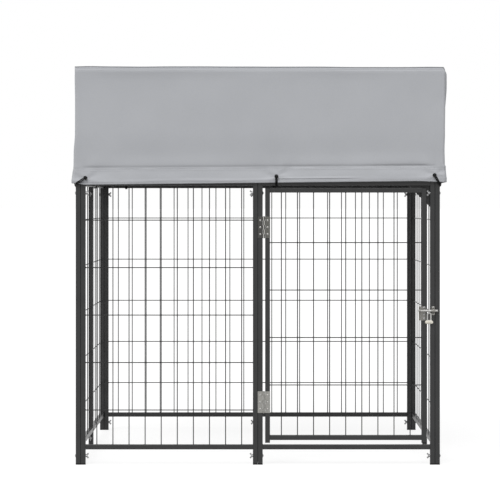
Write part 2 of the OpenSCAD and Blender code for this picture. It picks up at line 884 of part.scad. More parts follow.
// Route of a corner bungee: under the side rail, round the corner post and up to the ball
function corner_route(side, ball_x, ball_z) =
    let (
        in_x = side_x - tube_w / 2 - wrap,
        out_x = frame_half_w + wrap,
        back = wall_y - tube_w / 2 - 16,
        ball_y = hem_face_y + ball_out,
        low = rail_z - wrap,
        under = hem_z - 1.4 * wrap,
        front = hem_face_y + wrap,
        turn = [out_x - 5, front + 0.8, under + 2],
        stop = [abs(ball_x), ball_y, ball_z]
            + (0.5 * ball_d + 0.4) * unit([out_x - 3 - abs(ball_x), -2, under - ball_z]),
        half = [for (p = [
            [abs(ball_x), ball_y - 1, ball_z], [abs(ball_x), hem_face_y - 1, ball_z],
            [abs(ball_x), half_w - 2, ball_z - 0.5], [abs(ball_x) + 1, wall_y, panel_h + cap_t + 2 * wrap],
            [0.5 * (abs(ball_x) + in_x), bar_y - 6, panel_h + cap_t + 0.9 * wrap],
            [in_x - 0.6, back + 3, panel_h - 3], [in_x - 0.2, back + 1, rail_z + 4],
            [in_x + 0.5 * wrap, back, low + 0.4], [side_x - 3, back, low - 0.1],
            [side_x + 4, back, low - 0.1],
            [frame_half_w + 0.5 * wrap, back + 2, low + 0.5], [out_x + 0.4, back + 9, low + 1.6],
            [out_x + 0.4, half_w - 12, under - 1], [out_x + 0.2, half_w - 2, under],
            [out_x - 1.4, hem_face_y - 1.8, under], turn, 0.5 * (turn + stop) + [0, 0.6, 0], stop
        ]) [side * p.x, -p.y, p.z]]
    )
    half;

wall_route = rail_route(cloth_gap + hem_out, eyelet_z);
side_route = rail_route(side_slack + hem_out, eyelet_z);

module bungee_cords() {
    color(plastic_colour) {
        for (x = straight_front)
            swept_cord(place_route(wall_route, [x, -half_w], [0, -1]), cord_d);
        for (x = straight_back)
            swept_cord(place_route(wall_route, [x, half_w], [0, 1]), cord_d);
        for (side = [-1, 1])
            swept_cord(place_route(side_route, [side * frame_half_w, side_ball_y], [side, 0]), cord_d);
        for (b = corner_balls)
            swept_cord(corner_route(sign(b.x), b.x, eyelet_z + b.y), cord_d);
    }
}

// Gate

module gate_stile(x) {
    translate([x, -wall_y, gate_z + cap_t]) frame_tube(gate_top - gate_z - 2 * cap_t);
}

module gate_frame() {
    color(tube_colour)
        difference() {
            union() {
                gate_stile(gate_x + tube_w / 2);
                gate_stile(gate_edge - tube_w / 2);
                for (z = [gate_rail_z, gate_top - tube_w])
                    translate([gate_x + tube_w + weld_gap, -wall_y, z + tube_w / 2])
                        rail(gate_window_w - 2 * weld_gap);
            }
            hinge_rivet_holes(1);
            plate_rivet_holes();
        }
}

module gate_mesh() {
    translate([gate_x + tube_w, -wall_y, gate_rail_z + tube_w])
        wire_mesh(gate_window_w, gate_window_h, wire_pitch);
}

module gate_plugs() {
    for (x = [gate_x + tube_w / 2, gate_edge - tube_w / 2]) {
        translate([x, -wall_y, gate_z + cap_t]) tube_plug(cap_t);
        translate([x, -wall_y, gate_top - cap_t]) mirror([0, 0, 1]) tube_plug(cap_t);
    }
}

// Hinges

function knuckle_z(i) = i * knuckle_h - hinge_h / 2;

// Leaf with its pin on the Z axis: side is -1 on the post and 1 on the gate
module hinge_leaf(side) {
    knuckle_r = knuckle_d / 2;
    own = [for (i = [0 : knuckles - 1]) if ((i % 2 == 0) == (side < 0)) i];
    other = [for (i = [0 : knuckles - 1]) if ((i % 2 == 0) != (side < 0)) i];
    color(zinc_colour)
        difference() {
            union() {
                difference() {
                    translate([side < 0 ? -leaf_w : 0, knuckle_r - leaf_t, -hinge_h / 2])
                        cube([leaf_w, leaf_t, hinge_h]);
                    for (i = other)
                        translate([-knuckle_r - knuckle_gap, -knuckle_d, knuckle_z(i) - knuckle_gap / 2])
                            cube([knuckle_d + 2 * knuckle_gap, 2 * knuckle_d, knuckle_h + knuckle_gap]);
                }
                for (i = own)
                    translate([0, 0, knuckle_z(i) + knuckle_gap / 2])
                        cylinder(d = knuckle_d, h = knuckle_h - knuckle_gap);
            }
            cylinder(d = pin_d + 2 * pin_play, h = 2 * hinge_h, center = true);
            for (z = leaf_rivet_zs)
                translate([side * leaf_rivet_x, 0, z]) rotate([90, 0, 0])
                    cylinder(d = rivet_d + rivet_play, h = 4 * knuckle_d, center = true);
        }
}

module hinge_pin() {
    half = hinge_h / 2 - knuckle_gap / 2;
    color(zinc_colour) {
        cylinder(d = pin_d, h = 2 * half, center = true);
        for (up = [0, 1])
            mirror([0, 0, up]) translate([0, 0, half]) dome(knuckle_d - 1, 1.4);
    }
}

module at_hinge(z) {
    translate([pin_x, pin_y, z]) children();
}

module lower_hinge_post_leaf() {
    at_hinge(hinge_low) hinge_leaf(-1);
}

module lower_hinge_gate_leaf() {
    at_hinge(hinge_low) hinge_leaf(1);
}

module lower_hinge_pin() {
    at_hinge(hinge_low) hinge_pin();
}

module upper_hinge_post_leaf() {
    at_hinge(hinge_high) hinge_leaf(-1);
}

module upper_hinge_gate_leaf() {
    at_hinge(hinge_high) hinge_leaf(1);
}

module upper_hinge_pin() {
    at_hinge(hinge_high) hinge_pin();
}

// Rivet through a plate of thickness t that lies on the face of a tube, with its head towards -Y
module rivet(t) {
    rotate([90, 0, 0]) {
        translate([0, 0, t]) dome(rivet_head_d, rivet_head_h);
        translate([0, 0, -tube_wall - rivet_tail]) cylinder(d = rivet_d, h = t + tube_wall + rivet_tail);
    }
}

module rivet_hole() {
    rotate([90, 0, 0]) cylinder(d = rivet_d + rivet_play, h = 4 * tube_wall, center = true);
}

module at_leaf_rivets(side) {
    for (z = hinge_heights, step = leaf_rivet_zs)
        translate([pin_x + side * leaf_rivet_x, -half_w, z + step]) children();
}

module hinge_rivet_holes(side) {
    at_leaf_rivets(side) rivet_hole();
}

module post_hinge_rivets() {
    color(zinc_colour) at_leaf_rivets(-1) rivet(leaf_t);
}

module gate_hinge_rivets() {
    color(zinc_colour) at_leaf_rivets(1) rivet(leaf_t);
}

// Latch

// Half-round housing over the rod, along +X, on a base at the face of a tube
module rod_housing(length, play) {
    r = rod_d / 2 + play + plate_t;
    base = -half_w - rod_y;
    rotate([0, 90, 0]) cylinder(r = r, h = length);
    translate([0, 0, -r]) cube([length, base, 2 * r]);
}

module latch_plate() {
    color(zinc_colour)
        difference() {
            union() {
                translate([plate_x, -half_w - plate_t, latch_z - plate_drop])
                    cube([plate_w, plate_t, plate_rise + plate_drop]);
                translate([plate_x, rod_y, latch_z]) rod_housing(guide_len, rod_play);
            }
            translate([plate_x - 1, rod_y, latch_z]) rotate([0, 90, 0])
                cylinder(r = rod_d / 2 + rod_play, h = plate_w + 2);
            at_plate_rivets() translate([0, -plate_t, 0]) rivet_hole();
        }
}

module at_plate_rivets() {
    for (z = plate_rivet_zs)
        translate([plate_rivet_x, -half_w, latch_z + z]) children();
}

module plate_rivet_holes() {
    at_plate_rivets() rivet_hole();
}

module latch_plate_rivets() {
    color(zinc_colour) at_plate_rivets() rivet(plate_t);
}

module latch_rod() {
    nose = 1;
    color(zinc_colour)
        translate([rod_x, rod_y, latch_z]) rotate([0, 90, 0])
            difference() {
                union() {
                    translate([0, 0, nose]) cylinder(d = rod_d, h = rod_len - 2 * nose);
                    cylinder(d1 = rod_d - 2 * nose, d2 = rod_d, h = nose);
                    translate([0, 0, rod_len - nose]) cylinder(d1 = rod_d, d2 = rod_d - 2 * nose, h = nose);
                }
                translate([0, 0, eye_x - rod_x - eye_w / 2 - skin / 2])
                    difference() {
                        cylinder(d = 2 * rod_d, h = eye_w + skin);
                        translate([0, 0, -1]) cylinder(d = rod_d - 2 * groove, h = eye_w + 2);
                    }
            }
}

eye_bore = rod_d / 2 - groove + rod_play;
eye_r = rod_d / 2 + rod_lift - 2 * skin;
pull_arch_z = -eye_r - pull_w / 2;
pull_end = -pull_drop - 0.6 * grip_h;

// Front outline of the pull, with the rod's axis at the origin
module pull_outline() {
    slot_low = slot_w / 2 + 0.4 - pull_drop;
    difference() {
        union() {
            translate([0, pull_arch_z]) circle(pull_w / 2);
            translate([-pull_w / 2, pull_end]) square([pull_w, pull_arch_z - pull_end]);
            translate([-eye_w / 2, pull_arch_z]) square([eye_w, -pull_arch_z]);
        }
        for (z = [pull_arch_z, slot_low])
            translate([0, z]) circle(d = slot_w);
        translate([-slot_w / 2, slot_low]) square([slot_w, pull_arch_z - slot_low]);
    }
}

module latch_pull() {
    color(zinc_colour)
        translate([eye_x, rod_y, latch_z])
            difference() {
                union() {
                    rotate([90, 0, 0]) linear_extrude(pull_t, center = true) pull_outline();
                    rotate([0, 90, 0]) cylinder(r = eye_r, h = eye_w, center = true);
                }
                rotate([0, 90, 0]) cylinder(r = eye_bore, h = 4 * eye_w, center = true);
            }
}

// Grip on the end of the pull: two crossed outlines, with a pocket for the pull
// Points of an oval, squarer for a smaller bend
function oval(w, h, bend, count) = [
    for (i = [0 : count - 1])
        let (turn = 360 * (i + 0.5) / count, across = cos(turn), up = sin(turn))
        [w / 2 * sign(across) * pow(abs(across), bend), h / 2 * sign(up) * pow(abs(up), bend)]
];

module latch_grip() {
    color(grip_colour)
        translate([eye_x, rod_y, latch_z - pull_drop - grip_h / 2])
            difference() {
                intersection() {
                    rotate([90, 0, 0]) linear_extrude(grip_t, center = true)
                        polygon(oval(grip_w, grip_h, grip_bend, 28));
                    rotate([90, 0, 90]) linear_extrude(grip_w, center = true)
                        polygon(oval(grip_t, grip_h, grip_bend, 20));
                }
                translate([-pull_w / 2 - skin, -pull_t / 2 - skin, -0.1 * grip_h - skin])
                    cube([pull_w + 2 * skin, pull_t + 2 * skin, grip_h]);
            }
}

module keeper() {
    color(zinc_colour)
        difference() {
            union() {
                translate([keeper_x, -half_w - plate_t, latch_z - keeper_h / 2])
                    cube([keeper_w, plate_t, keeper_h]);
                translate([keeper_x, rod_y, latch_z]) rod_housing(keeper_w, keeper_play);
            }
            translate([keeper_x - 1, rod_y, latch_z]) rotate([0, 90, 0])
                cylinder(r = rod_d / 2 + keeper_play, h = keeper_w + 2);
            at_keeper_rivets() translate([0, -plate_t, 0]) rivet_hole();
        }
}

module at_keeper_rivets() {
    for (up = [-1, 1])
        translate([keeper_x + keeper_w / 2, -half_w, latch_z + up * keeper_rivet_z]) children();
}

module keeper_rivet_holes() {
    at_keeper_rivets() rivet_hole();
}

module keeper_rivets() {
    color(zinc_colour) at_keeper_rivets() rivet(plate_t);
}

front_panel_frame();
front_panel_mesh();
gate_surround();
gate_stop();
back_left_panel_frame();
back_left_panel_mesh();
back_right_panel_frame();
back_right_panel_mesh();
left_front_panel_frame();
left_front_panel_mesh();
left_back_panel_frame();
left_back_panel_mesh();
right_front_panel_frame();
right_front_panel_mesh();
right_back_panel_frame();
right_back_panel_mesh();
leg_plugs();
top_plugs();
panel_bolts();
wing_nuts();
front_left_hoop();
front_right_hoop();
back_left_hoop();
back_right_hoop();
left_rafter();
centre_rafter();
right_rafter();
rafter_screws();
cover_front();
cover_roof();
cover_left_side();
cover_right_side();
cover_back();
hem_eyelets();
bungee_balls();
bungee_cords();
gate_frame();
gate_mesh();
gate_plugs();
lower_hinge_post_leaf();
lower_hinge_gate_leaf();
lower_hinge_pin();
upper_hinge_post_leaf();
upper_hinge_gate_leaf();
upper_hinge_pin();
post_hinge_rivets();
gate_hinge_rivets();
latch_plate();
latch_plate_rivets();
latch_rod();
latch_pull();
latch_grip();
keeper();
keeper_rivets();
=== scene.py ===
"""Outdoor dog kennel run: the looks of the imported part, its floor, light and camera.

Sizes are millimetres in the part's own frame, and become metres where a mesh is made. The camera, the light, the
floor and the sizes inside materials are in metres.
"""

import json
import math

import bpy
import numpy as np
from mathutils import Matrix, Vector, noise


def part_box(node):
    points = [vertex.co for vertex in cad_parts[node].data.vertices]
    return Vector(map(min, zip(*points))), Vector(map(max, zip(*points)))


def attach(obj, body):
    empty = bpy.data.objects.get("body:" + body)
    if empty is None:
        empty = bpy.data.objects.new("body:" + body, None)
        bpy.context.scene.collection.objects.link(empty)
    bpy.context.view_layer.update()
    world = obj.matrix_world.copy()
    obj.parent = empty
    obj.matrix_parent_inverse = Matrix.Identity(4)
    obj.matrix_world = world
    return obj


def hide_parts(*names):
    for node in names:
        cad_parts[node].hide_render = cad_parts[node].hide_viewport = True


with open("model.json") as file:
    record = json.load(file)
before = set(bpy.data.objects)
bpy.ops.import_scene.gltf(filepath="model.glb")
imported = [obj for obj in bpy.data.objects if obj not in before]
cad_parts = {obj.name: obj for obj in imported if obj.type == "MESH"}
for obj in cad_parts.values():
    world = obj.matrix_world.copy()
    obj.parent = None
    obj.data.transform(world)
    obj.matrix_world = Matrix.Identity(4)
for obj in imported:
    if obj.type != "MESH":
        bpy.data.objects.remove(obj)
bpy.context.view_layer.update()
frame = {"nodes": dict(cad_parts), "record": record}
nodes = frame["nodes"]
scene = bpy.context.scene
MM = 0.001
WHITE = (1.0, 1.0, 1.0, 1.0)


# Sizes of the CAD part that the pieces made here follow

TUBE_W = 16.0
PANEL_W = 583.0
PANEL_H = 934.0
LEG_H = 50.0
RAIL_Z = PANEL_H - TUBE_W
JOINT_GAP = 0.3
HALF_W = PANEL_W + JOINT_GAP / 2
WALL_Y = HALF_W - TUBE_W / 2
BAR_Y = WALL_Y - TUBE_W / 2
SIDE_X = HALF_W + JOINT_GAP + TUBE_W / 2
FRAME_X = SIDE_X + TUBE_W / 2
CAP_T = 2.0
GATE_X = 24.15
GATE_W = 531.0
GATE_RAIL_Z = 81.0
GATE_TOP = 911.5
HINGE_X = 20.15
ROOF_FRONT = 1307.0
ROOF_BACK = 1004.0
CLOTH_T = 1.2
HEM_Z = 926.0
HEM_TOP = 979.0
EYELET_Z = 949.0
# Eyelets: along the front and up, with the middle one first, then along the back, then along both sides
FRONT_EYELETS = ((61.0, EYELET_Z), (-566.95, 944.0), (580.95, 953.0))
BACK_EYELETS = (-499.95, 61.0, 499.95)
SIDE_EYELET_Y = 134.0
CORD_D = 3.6


# Camera and light

FILL_LIGHT = 0.86
KEY_LIGHT = 2.3
KEY_PLACE = (-1.6, -4.0, 5.4)
KEY_AIM = (0.0, 0.0, 0.4)
KEY_ANGLE = 0.7

camera_data = bpy.data.cameras.new("camera")
camera_data.sensor_width = 36.0
camera_data.lens = 163.4
camera_data.shift_x = -0.0156
camera_data.shift_y = -0.092
camera_data.clip_end = 2000.0
camera = bpy.data.objects.new("camera", camera_data)
camera.location = (0.0, -8.052, 0.858)
camera.rotation_euler = (math.pi / 2, 0.0, 0.0)
scene.collection.objects.link(camera)
scene.camera = camera
scene.view_settings.view_transform = "Standard"

key_data = bpy.data.lights.new("key", "SUN")
key_data.energy = KEY_LIGHT
key_data.angle = KEY_ANGLE
key_light = bpy.data.objects.new("key", key_data)
key_light.location = KEY_PLACE
key_light.rotation_euler = (Vector(KEY_AIM) - Vector(KEY_PLACE)).to_track_quat("-Z", "Y").to_euler()
scene.collection.objects.link(key_light)


def seen_directly(tree):
    """A value of 1 for what the camera, a mirror or glass sees, and 0 for light that falls on the object."""
    path = tree.nodes.new("ShaderNodeLightPath")
    seen = path.outputs["Is Camera Ray"]
    for ray in ("Is Glossy Ray", "Is Transmission Ray"):
        either = tree.nodes.new("ShaderNodeMath")
        either.operation = "MAXIMUM"
        tree.links.new(seen, either.inputs[0])
        tree.links.new(path.outputs[ray], either.inputs[1])
        seen = either.outputs[0]
    return seen


def studio_world():
    """White where it is seen, and a plain level of fill light on the object."""
    world = bpy.data.worlds.new("studio")
    scene.world = world
    world.use_nodes = True
    tree = world.node_tree
    fill = tree.nodes["Background"]
    fill.inputs["Color"].default_value = WHITE
    fill.inputs["Strength"].default_value = FILL_LIGHT
    white = tree.nodes.new("ShaderNodeBackground")
    white.inputs["Color"].default_value = WHITE
    white.inputs["Strength"].default_value = 1.0
    mix = tree.nodes.new("ShaderNodeMixShader")
    tree.links.new(seen_directly(tree), mix.inputs[0])
    tree.links.new(fill.outputs[0], mix.inputs[1])
    tree.links.new(white.outputs[0], mix.inputs[2])
    tree.links.new(mix.outputs[0], tree.nodes["World Output"].inputs["Surface"])


studio_world()


# Materials

# Sockets of a Mix node, which has one set for numbers and another for colours
MIX_FACTOR = 0
NUMBER_A, NUMBER_B, NUMBER_RESULT = 2, 3, 0
COLOUR_A, COLOUR_B, COLOUR_RESULT = 6, 7, 2
# Painted highlight along the knuckles of the upper hinge's leaves, where light glints on them: distance from the
# pin, width and colour
KNUCKLE_HIGHLIGHT = 1.7
HIGHLIGHT_W = 3.0
HIGHLIGHT_COLOUR = (0.47, 0.465, 0.44)
# Crystals of zinc for each metre
COARSE, FINE = 640.0, 900.0
BRAID_ANGLE = math.radians(38.0)
BRAID_TURNS = 0.9


class Shader:
    """A material whose Principled shader is fed by texture nodes."""

    def __init__(self, name, colour, roughness, metallic=0.0, shine=0.5):
        self.material = bpy.data.materials.new(name)
        self.material.use_nodes = True
        self.tree = self.material.node_tree
        self.tree.nodes.clear()
        output = self.node("ShaderNodeOutputMaterial")
        self.bsdf = self.node("ShaderNodeBsdfPrincipled")
        self.link(self.bsdf, "BSDF", output, "Surface")
        self.set("Base Color", (*colour, 1.0))
        self.set("Roughness", roughness)
        self.set("Metallic", metallic)
        self.set("Specular IOR Level", shine)
        self.coords = self.node("ShaderNodeTexCoord")

    def node(self, kind, **values):
        made = self.tree.nodes.new(kind)
        for key, value in values.items():
            setattr(made, key, value)
        return made

    def set(self, name, value):
        self.bsdf.inputs[name].default_value = value

    def link(self, source, output, target, name):
        self.tree.links.new(source.outputs[output], target.inputs[name])

    def texture(self, kind, scale, coords="Object", **values):
        made = self.node(kind, **values)
        made.inputs["Scale"].default_value = scale
        self.link(self.coords, coords, made, "Vector")
        return made

    def noise(self, scale, detail=3.0):
        made = self.texture("ShaderNodeTexNoise", scale)
        made.inputs["Detail"].default_value = detail
        return made

    def ramp(self, source, output, stops):
        """A colour ramp over source, with stops as (place, colour)."""
        made = self.node("ShaderNodeValToRGB")
        elements = made.color_ramp.elements
        while len(elements) < len(stops):
            elements.new(0.5)
        for element, (place, colour) in zip(elements, stops):
            element.position = place
            element.color = (*colour, 1.0)
        self.link(source, output, made, "Fac")
        return made

    def grey_ramp(self, source, low, high):
        return self.ramp(source, "Fac", [(0.3, (low,) * 3), (0.7, (high,) * 3)])

    def bump(self, source, output, strength, distance, under=None):
        made = self.node("ShaderNodeBump")
        made.inputs["Strength"].default_value = strength
        made.inputs["Distance"].default_value = distance
        self.link(source, output, made, "Height")
        if under is not None:
            self.link(under, "Normal", made, "Normal")
        return made

    def colour_from(self, source, output="Color"):
        self.link(source, output, self.bsdf, "Base Color")

    def roughness_from(self, source):
        self.link(source, "Color", self.bsdf, "Roughness")

    def normal_from(self, source):
        self.link(source, "Normal", self.bsdf, "Normal")


def shade(colour, share):
    return tuple(share * c for c in colour)


def powder_coat(name, dark, light, shine):
    """Satin coat with faint clouds, a speckled gloss and a fine orange peel."""
    shader = Shader(name, light, roughness=0.42, shine=shine)
    clouds = shader.noise(scale=14.0)
    shader.colour_from(shader.ramp(clouds, "Fac", [(0.35, dark), (0.7, light)]))
    speckle = shader.noise(scale=420.0, detail=2.0)
    shader.roughness_from(shader.grey_ramp(speckle, low=0.26, high=0.42))
    peel = shader.noise(scale=900.0, detail=2.0)
    shader.normal_from(shader.bump(peel, "Fac", strength=0.25, distance=0.0002))
    return shader.material


def moulded_plastic(name, colour, roughness, shine=0.5):
    """Plastic with clouds in its colour and gloss, and a fine grain."""
    shader = Shader(name, colour, roughness, shine=shine)
    clouds = shader.noise(scale=60.0)
    shader.roughness_from(shader.grey_ramp(clouds, low=roughness - 0.08, high=roughness + 0.08))
    shader.colour_from(shader.ramp(clouds, "Fac", [(0.3, shade(colour, 0.85)), (0.7, colour)]))
    grain = shader.noise(scale=1500.0, detail=2.0)
    shader.normal_from(shader.bump(grain, "Fac", strength=0.2, distance=0.0001))
    return shader.material


def zinc(name, dark, light, spangle, low, high, highlight_x=None):
    """Galvanised or plated steel with crystals and roughness from low to high; where an x is given, a painted
    highlight runs along it as a bright stripe.
    """
    shader = Shader(name, light, roughness=0.4, metallic=0.85)
    crystals = shader.texture("ShaderNodeTexVoronoi", spangle)
    steel = shader.ramp(crystals, "Color", [(0.2, dark), (0.8, light)])
    if highlight_x is None:
        shader.colour_from(steel)
    else:
        # Painted highlight: a bright stripe of the given colour within half its width of the given x
        place = shader.node("ShaderNodeSeparateXYZ")
        shader.link(shader.coords, "Object", place, "Vector")
        near = shader.node("ShaderNodeMath", operation="COMPARE")
        near.inputs[1].default_value = highlight_x * MM
        near.inputs[2].default_value = HIGHLIGHT_W / 2 * MM
        shader.link(place, "X", near, 0)
        highlight = shader.node("ShaderNodeMix", data_type="RGBA")
        shader.link(near, 0, highlight, MIX_FACTOR)
        shader.link(steel, "Color", highlight, COLOUR_A)
        highlight.inputs[COLOUR_B].default_value = (*HIGHLIGHT_COLOUR, 1.0)
        shader.colour_from(highlight, COLOUR_RESULT)
    smudges = shader.noise(scale=130.0)
    shader.roughness_from(shader.grey_ramp(smudges, low, high))
    dents = shader.noise(scale=320.0)
    shader.normal_from(shader.bump(dents, "Fac", strength=0.12, distance=0.0002))
    return shader.material


def braided_elastic(name, colour):
    """Cord cover: two families of strands that wind round the cord, over the cord's UVs."""
    shader = Shader(name, colour, roughness=0.75, shine=0.1)
    crossed = shader.node("ShaderNodeMath", operation="MAXIMUM")
    for family, angle in enumerate((BRAID_ANGLE, -BRAID_ANGLE)):
        mapping = shader.node("ShaderNodeMapping")
        mapping.inputs["Rotation"].default_value = (0.0, 0.0, angle)
        shader.link(shader.coords, "UV", mapping, "Vector")
        wave = shader.node("ShaderNodeTexWave")
        wave.inputs["Scale"].default_value = BRAID_TURNS / (CORD_D * MM)
        shader.link(mapping, "Vector", wave, "Vector")
        shader.link(wave, "Fac", crossed, family)
    shader.colour_from(shader.ramp(crossed, 0, [(0.2, shade(colour, 0.5)), (0.9, shade(colour, 1.5))]))
    shader.normal_from(shader.bump(crossed, 0, strength=0.5, distance=0.0003))
    return shader.material


def oxford_cloth(name, dark, light, thread_w):
    """Coated woven cloth: a plain weave over UVs in metres, with faint clouds and creases."""
    shader = Shader(name, light, roughness=0.82, shine=0.25)
    shader.set("Sheen Weight", 0.12)
    shader.set("Sheen Roughness", 0.5)
    weave = shader.node("ShaderNodeMix", data_type="FLOAT")
    checker = shader.texture("ShaderNodeTexChecker", 1.0 / (2.0 * thread_w), "UV")
    shader.link(checker, "Fac", weave, MIX_FACTOR)
    for direction, socket in (("X", NUMBER_A), ("Y", NUMBER_B)):
        wave = shader.texture("ShaderNodeTexWave", math.pi / (10.0 * thread_w), "UV", bands_direction=direction)
        shader.link(wave, "Fac", weave, socket)
    clouds = shader.noise(scale=5.0, detail=4.0)
    slubs = shader.noise(scale=700.0, detail=1.0)
    tint = shader.node("ShaderNodeMix", data_type="RGBA", blend_type="MULTIPLY")
    tint.inputs[MIX_FACTOR].default_value = 0.16
    shader.link(shader.ramp(clouds, "Fac", [(0.3, dark), (0.7, light)]), "Color", tint, COLOUR_A)
    shader.link(shader.grey_ramp(slubs, low=0.55, high=1.0), "Color", tint, COLOUR_B)
    shader.colour_from(tint, COLOUR_RESULT)
    creases = shader.noise(scale=26.0, detail=5.0)
    soft = shader.bump(creases, "Fac", strength=0.25, distance=0.0012)
    shader.normal_from(shader.bump(weave, NUMBER_RESULT, strength=0.35, distance=0.00015, under=soft))
    shader.roughness_from(shader.grey_ramp(slubs, low=0.76, high=0.9))
    return shader.material


tube_coat = powder_coat("tube_coat", (0.0165, 0.0167, 0.017), (0.022, 0.0223, 0.0227), shine=0.42)
wire_coat = powder_coat("wire_coat", (0.005, 0.0052, 0.0056), (0.009, 0.0093, 0.0098), shine=0.22)
black_plastic = moulded_plastic("black_plastic", (0.007, 0.007, 0.0074), roughness=0.55, shine=0.14)
plated_steel = zinc("plated_steel", (0.22, 0.22, 0.225), (0.34, 0.34, 0.34), FINE, 0.28, 0.42)
galvanised_steel = zinc("galvanised_steel", (0.165, 0.161, 0.15), (0.235, 0.229, 0.213), COARSE, 0.28, 0.46)
# Paler zinc: painted light on the leaves of the lower hinge
lit_zinc = zinc("lit_zinc", (0.23, 0.226, 0.212), (0.33, 0.324, 0.304), COARSE, 0.3, 0.5)
# Darker zinc: painted shade on the leaves of the upper hinge and in the web of the pull
SHADED_ZINC = ((0.045, 0.044, 0.042), (0.085, 0.083, 0.079), COARSE, 0.34, 0.5)
shaded_zinc = zinc("shaded_zinc", *SHADED_ZINC)
# Leaves of the upper hinge: painted shade, with a painted highlight along their knuckles
post_leaf_shade_and_highlight = zinc("post_leaf_shade_and_highlight", *SHADED_ZINC, HINGE_X - KNUCKLE_HIGHLIGHT)
gate_leaf_shade_and_highlight = zinc(
    "gate_leaf_shade_and_highlight", (0.09, 0.089, 0.081), (0.15, 0.148, 0.136), COARSE, 0.34, 0.5, HINGE_X + KNUCKLE_HIGHLIGHT)
bright_steel = zinc("bright_steel", (0.26, 0.257, 0.248), (0.4, 0.396, 0.384), FINE, 0.26, 0.4)
rivet_steel = zinc("rivet_steel", (0.27, 0.267, 0.256), (0.38, 0.376, 0.364), FINE, 0.34, 0.5)
pull_steel = zinc("pull_steel", (0.33, 0.327, 0.318), (0.46, 0.456, 0.444), FINE, 0.26, 0.4)
elastic_cover = braided_elastic("elastic_cover", (0.005, 0.005, 0.0053))
grip_plastic = moulded_plastic("grip_plastic", (0.68, 0.65, 0.57), roughness=0.34)
cover_cloth = oxford_cloth("cover_cloth", (0.402, 0.412, 0.434), (0.426, 0.436, 0.458), thread_w=0.00055)
# Binding of the top edge, darker than the cover: painted shade along the edge
shaded_binding_cloth = oxford_cloth("shaded_binding_cloth", (0.262, 0.269, 0.284), (0.292, 0.3, 0.315), thread_w=0.00045)
thread = moulded_plastic("thread", (0.36, 0.365, 0.38), roughness=0.7)

SLOT_MATERIALS = {
    "coated_tube": tube_coat,
    "coated_wire": wire_coat,
    "black_plastic": black_plastic,
    "plated_steel": plated_steel,
    "galvanised_steel": galvanised_steel,
    "cover_cloth": cover_cloth,
    "elastic_cord": elastic_cover,
    "pale_grip": grip_plastic,
}
# Nodes that look unlike the rest of their slot; the hinge leaves are lit and shaded copies of galvanised steel,
# painted light on the lower hinge and painted shade on the upper one
NODE_MATERIALS = {
    "lower_hinge_post_leaf": lit_zinc,
    "upper_hinge_post_leaf": post_leaf_shade_and_highlight,
    "lower_hinge_gate_leaf": lit_zinc,
    "upper_hinge_gate_leaf": gate_leaf_shade_and_highlight,
    "lower_hinge_pin": bright_steel,
    "upper_hinge_pin": bright_steel,
    "post_hinge_rivets": rivet_steel,
    "gate_hinge_rivets": rivet_steel,
    "latch_plate_rivets": plated_steel,
    "keeper_rivets": rivet_steel,
    "latch_rod": bright_steel,
    "latch_pull": pull_steel,
}
for subpart in frame["record"]["subparts"]:
    mesh = nodes[subpart["node"]].data
    mesh.materials.clear()
    mesh.materials.append(NODE_MATERIALS.get(subpart["node"], SLOT_MATERIALS[subpart["material_slot"]]))


# Mesh helpers


def make_piece(name, points, faces, material, body, smooth=True):
    """A piece from points in millimetres, which rides on a body."""
    mesh = bpy.data.meshes.new(name)
    mesh.from_pydata((np.asarray(points, float) * MM).tolist(), [], faces)
    mesh.validate()
    mesh.materials.append(material)
    if smooth:
        mesh.shade_smooth()
    else:
        mesh.shade_flat()
    piece = bpy.data.objects.new(name, mesh)
    scene.collection.objects.link(piece)
    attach(piece, body)
    return piece


def set_uvs(piece, name, uvs):
    """Adds a UV layer in metres, from a pair in millimetres for each corner of each face."""
    layer = piece.data.uv_layers.new(name=name)
    layer.data.foreach_set("uv", (np.array(uvs, float) * MM).astype(np.float32).ravel())


class Builder:
    """Collects many small shapes into one mesh."""

    def __init__(self):
        self.points = []
        self.faces = []

    def add(self, points, faces):
        start = len(self.points)
        self.points.extend(tuple(p) for p in points)
        self.faces.extend(tuple(start + i for i in face) for face in faces)


def tube_faces(rings, sides, closed_ends=True):
    """Faces that join rings of points, each with the same number of sides."""
    faces = []
    for i in range(rings - 1):
        for k in range(sides):
            a, b = i * sides + k, i * sides + (k + 1) % sides
            faces.append((a, b, b + sides, a + sides))
    if closed_ends:
        faces.append(tuple(reversed(range(sides))))
        faces.append(tuple(range((rings - 1) * sides, rings * sides)))
    return faces


def ring(middle, a, b, sides):
    """Points round an ellipse, from its half axes as vectors."""
    turns = [2 * math.pi * k / sides for k in range(sides)]
    return [middle + math.cos(turn) * a + math.sin(turn) * b for turn in turns]


def unit(v):
    v = np.asarray(v, float)
    return v / np.linalg.norm(v)


def run_along(points):
    """Distance along a line of points, at each of them."""
    steps = np.linalg.norm(np.diff(np.asarray(points), axis=0), axis=1)
    return np.concatenate(([0.0], np.cumsum(steps)))


def clamp(t):
    return min(max(t, 0.0), 1.0)


def ease(t):
    """A smooth step from 0 to 1."""
    t = clamp(t)
    return t * t * (3.0 - 2.0 * t)


def hill(x, middle, width):
    return math.exp(-(((x - middle) / width) ** 2))


def swell(x, height, middle, width):
    return height * hill(x, middle, width)


def ripple(x, y, z, height, size, seed, side=0):
    """Smooth noise in waves of about a height and a size, with a seed of its own for each side."""
    seed += side
    return height * noise.noise(Vector((x / size + seed, y / size - seed, z / size + 0.37 * seed)))


# Fabric cover

FRONT, RIGHT, BACK, LEFT = range(4)
SIDE_NORMALS = np.array(((0.0, -1.0), (1.0, 0.0), (0.0, 1.0), (-1.0, 0.0)))
FRONT_COLUMNS = 150
SIDE_COLUMNS = 104
CORNER_COLUMNS = 6
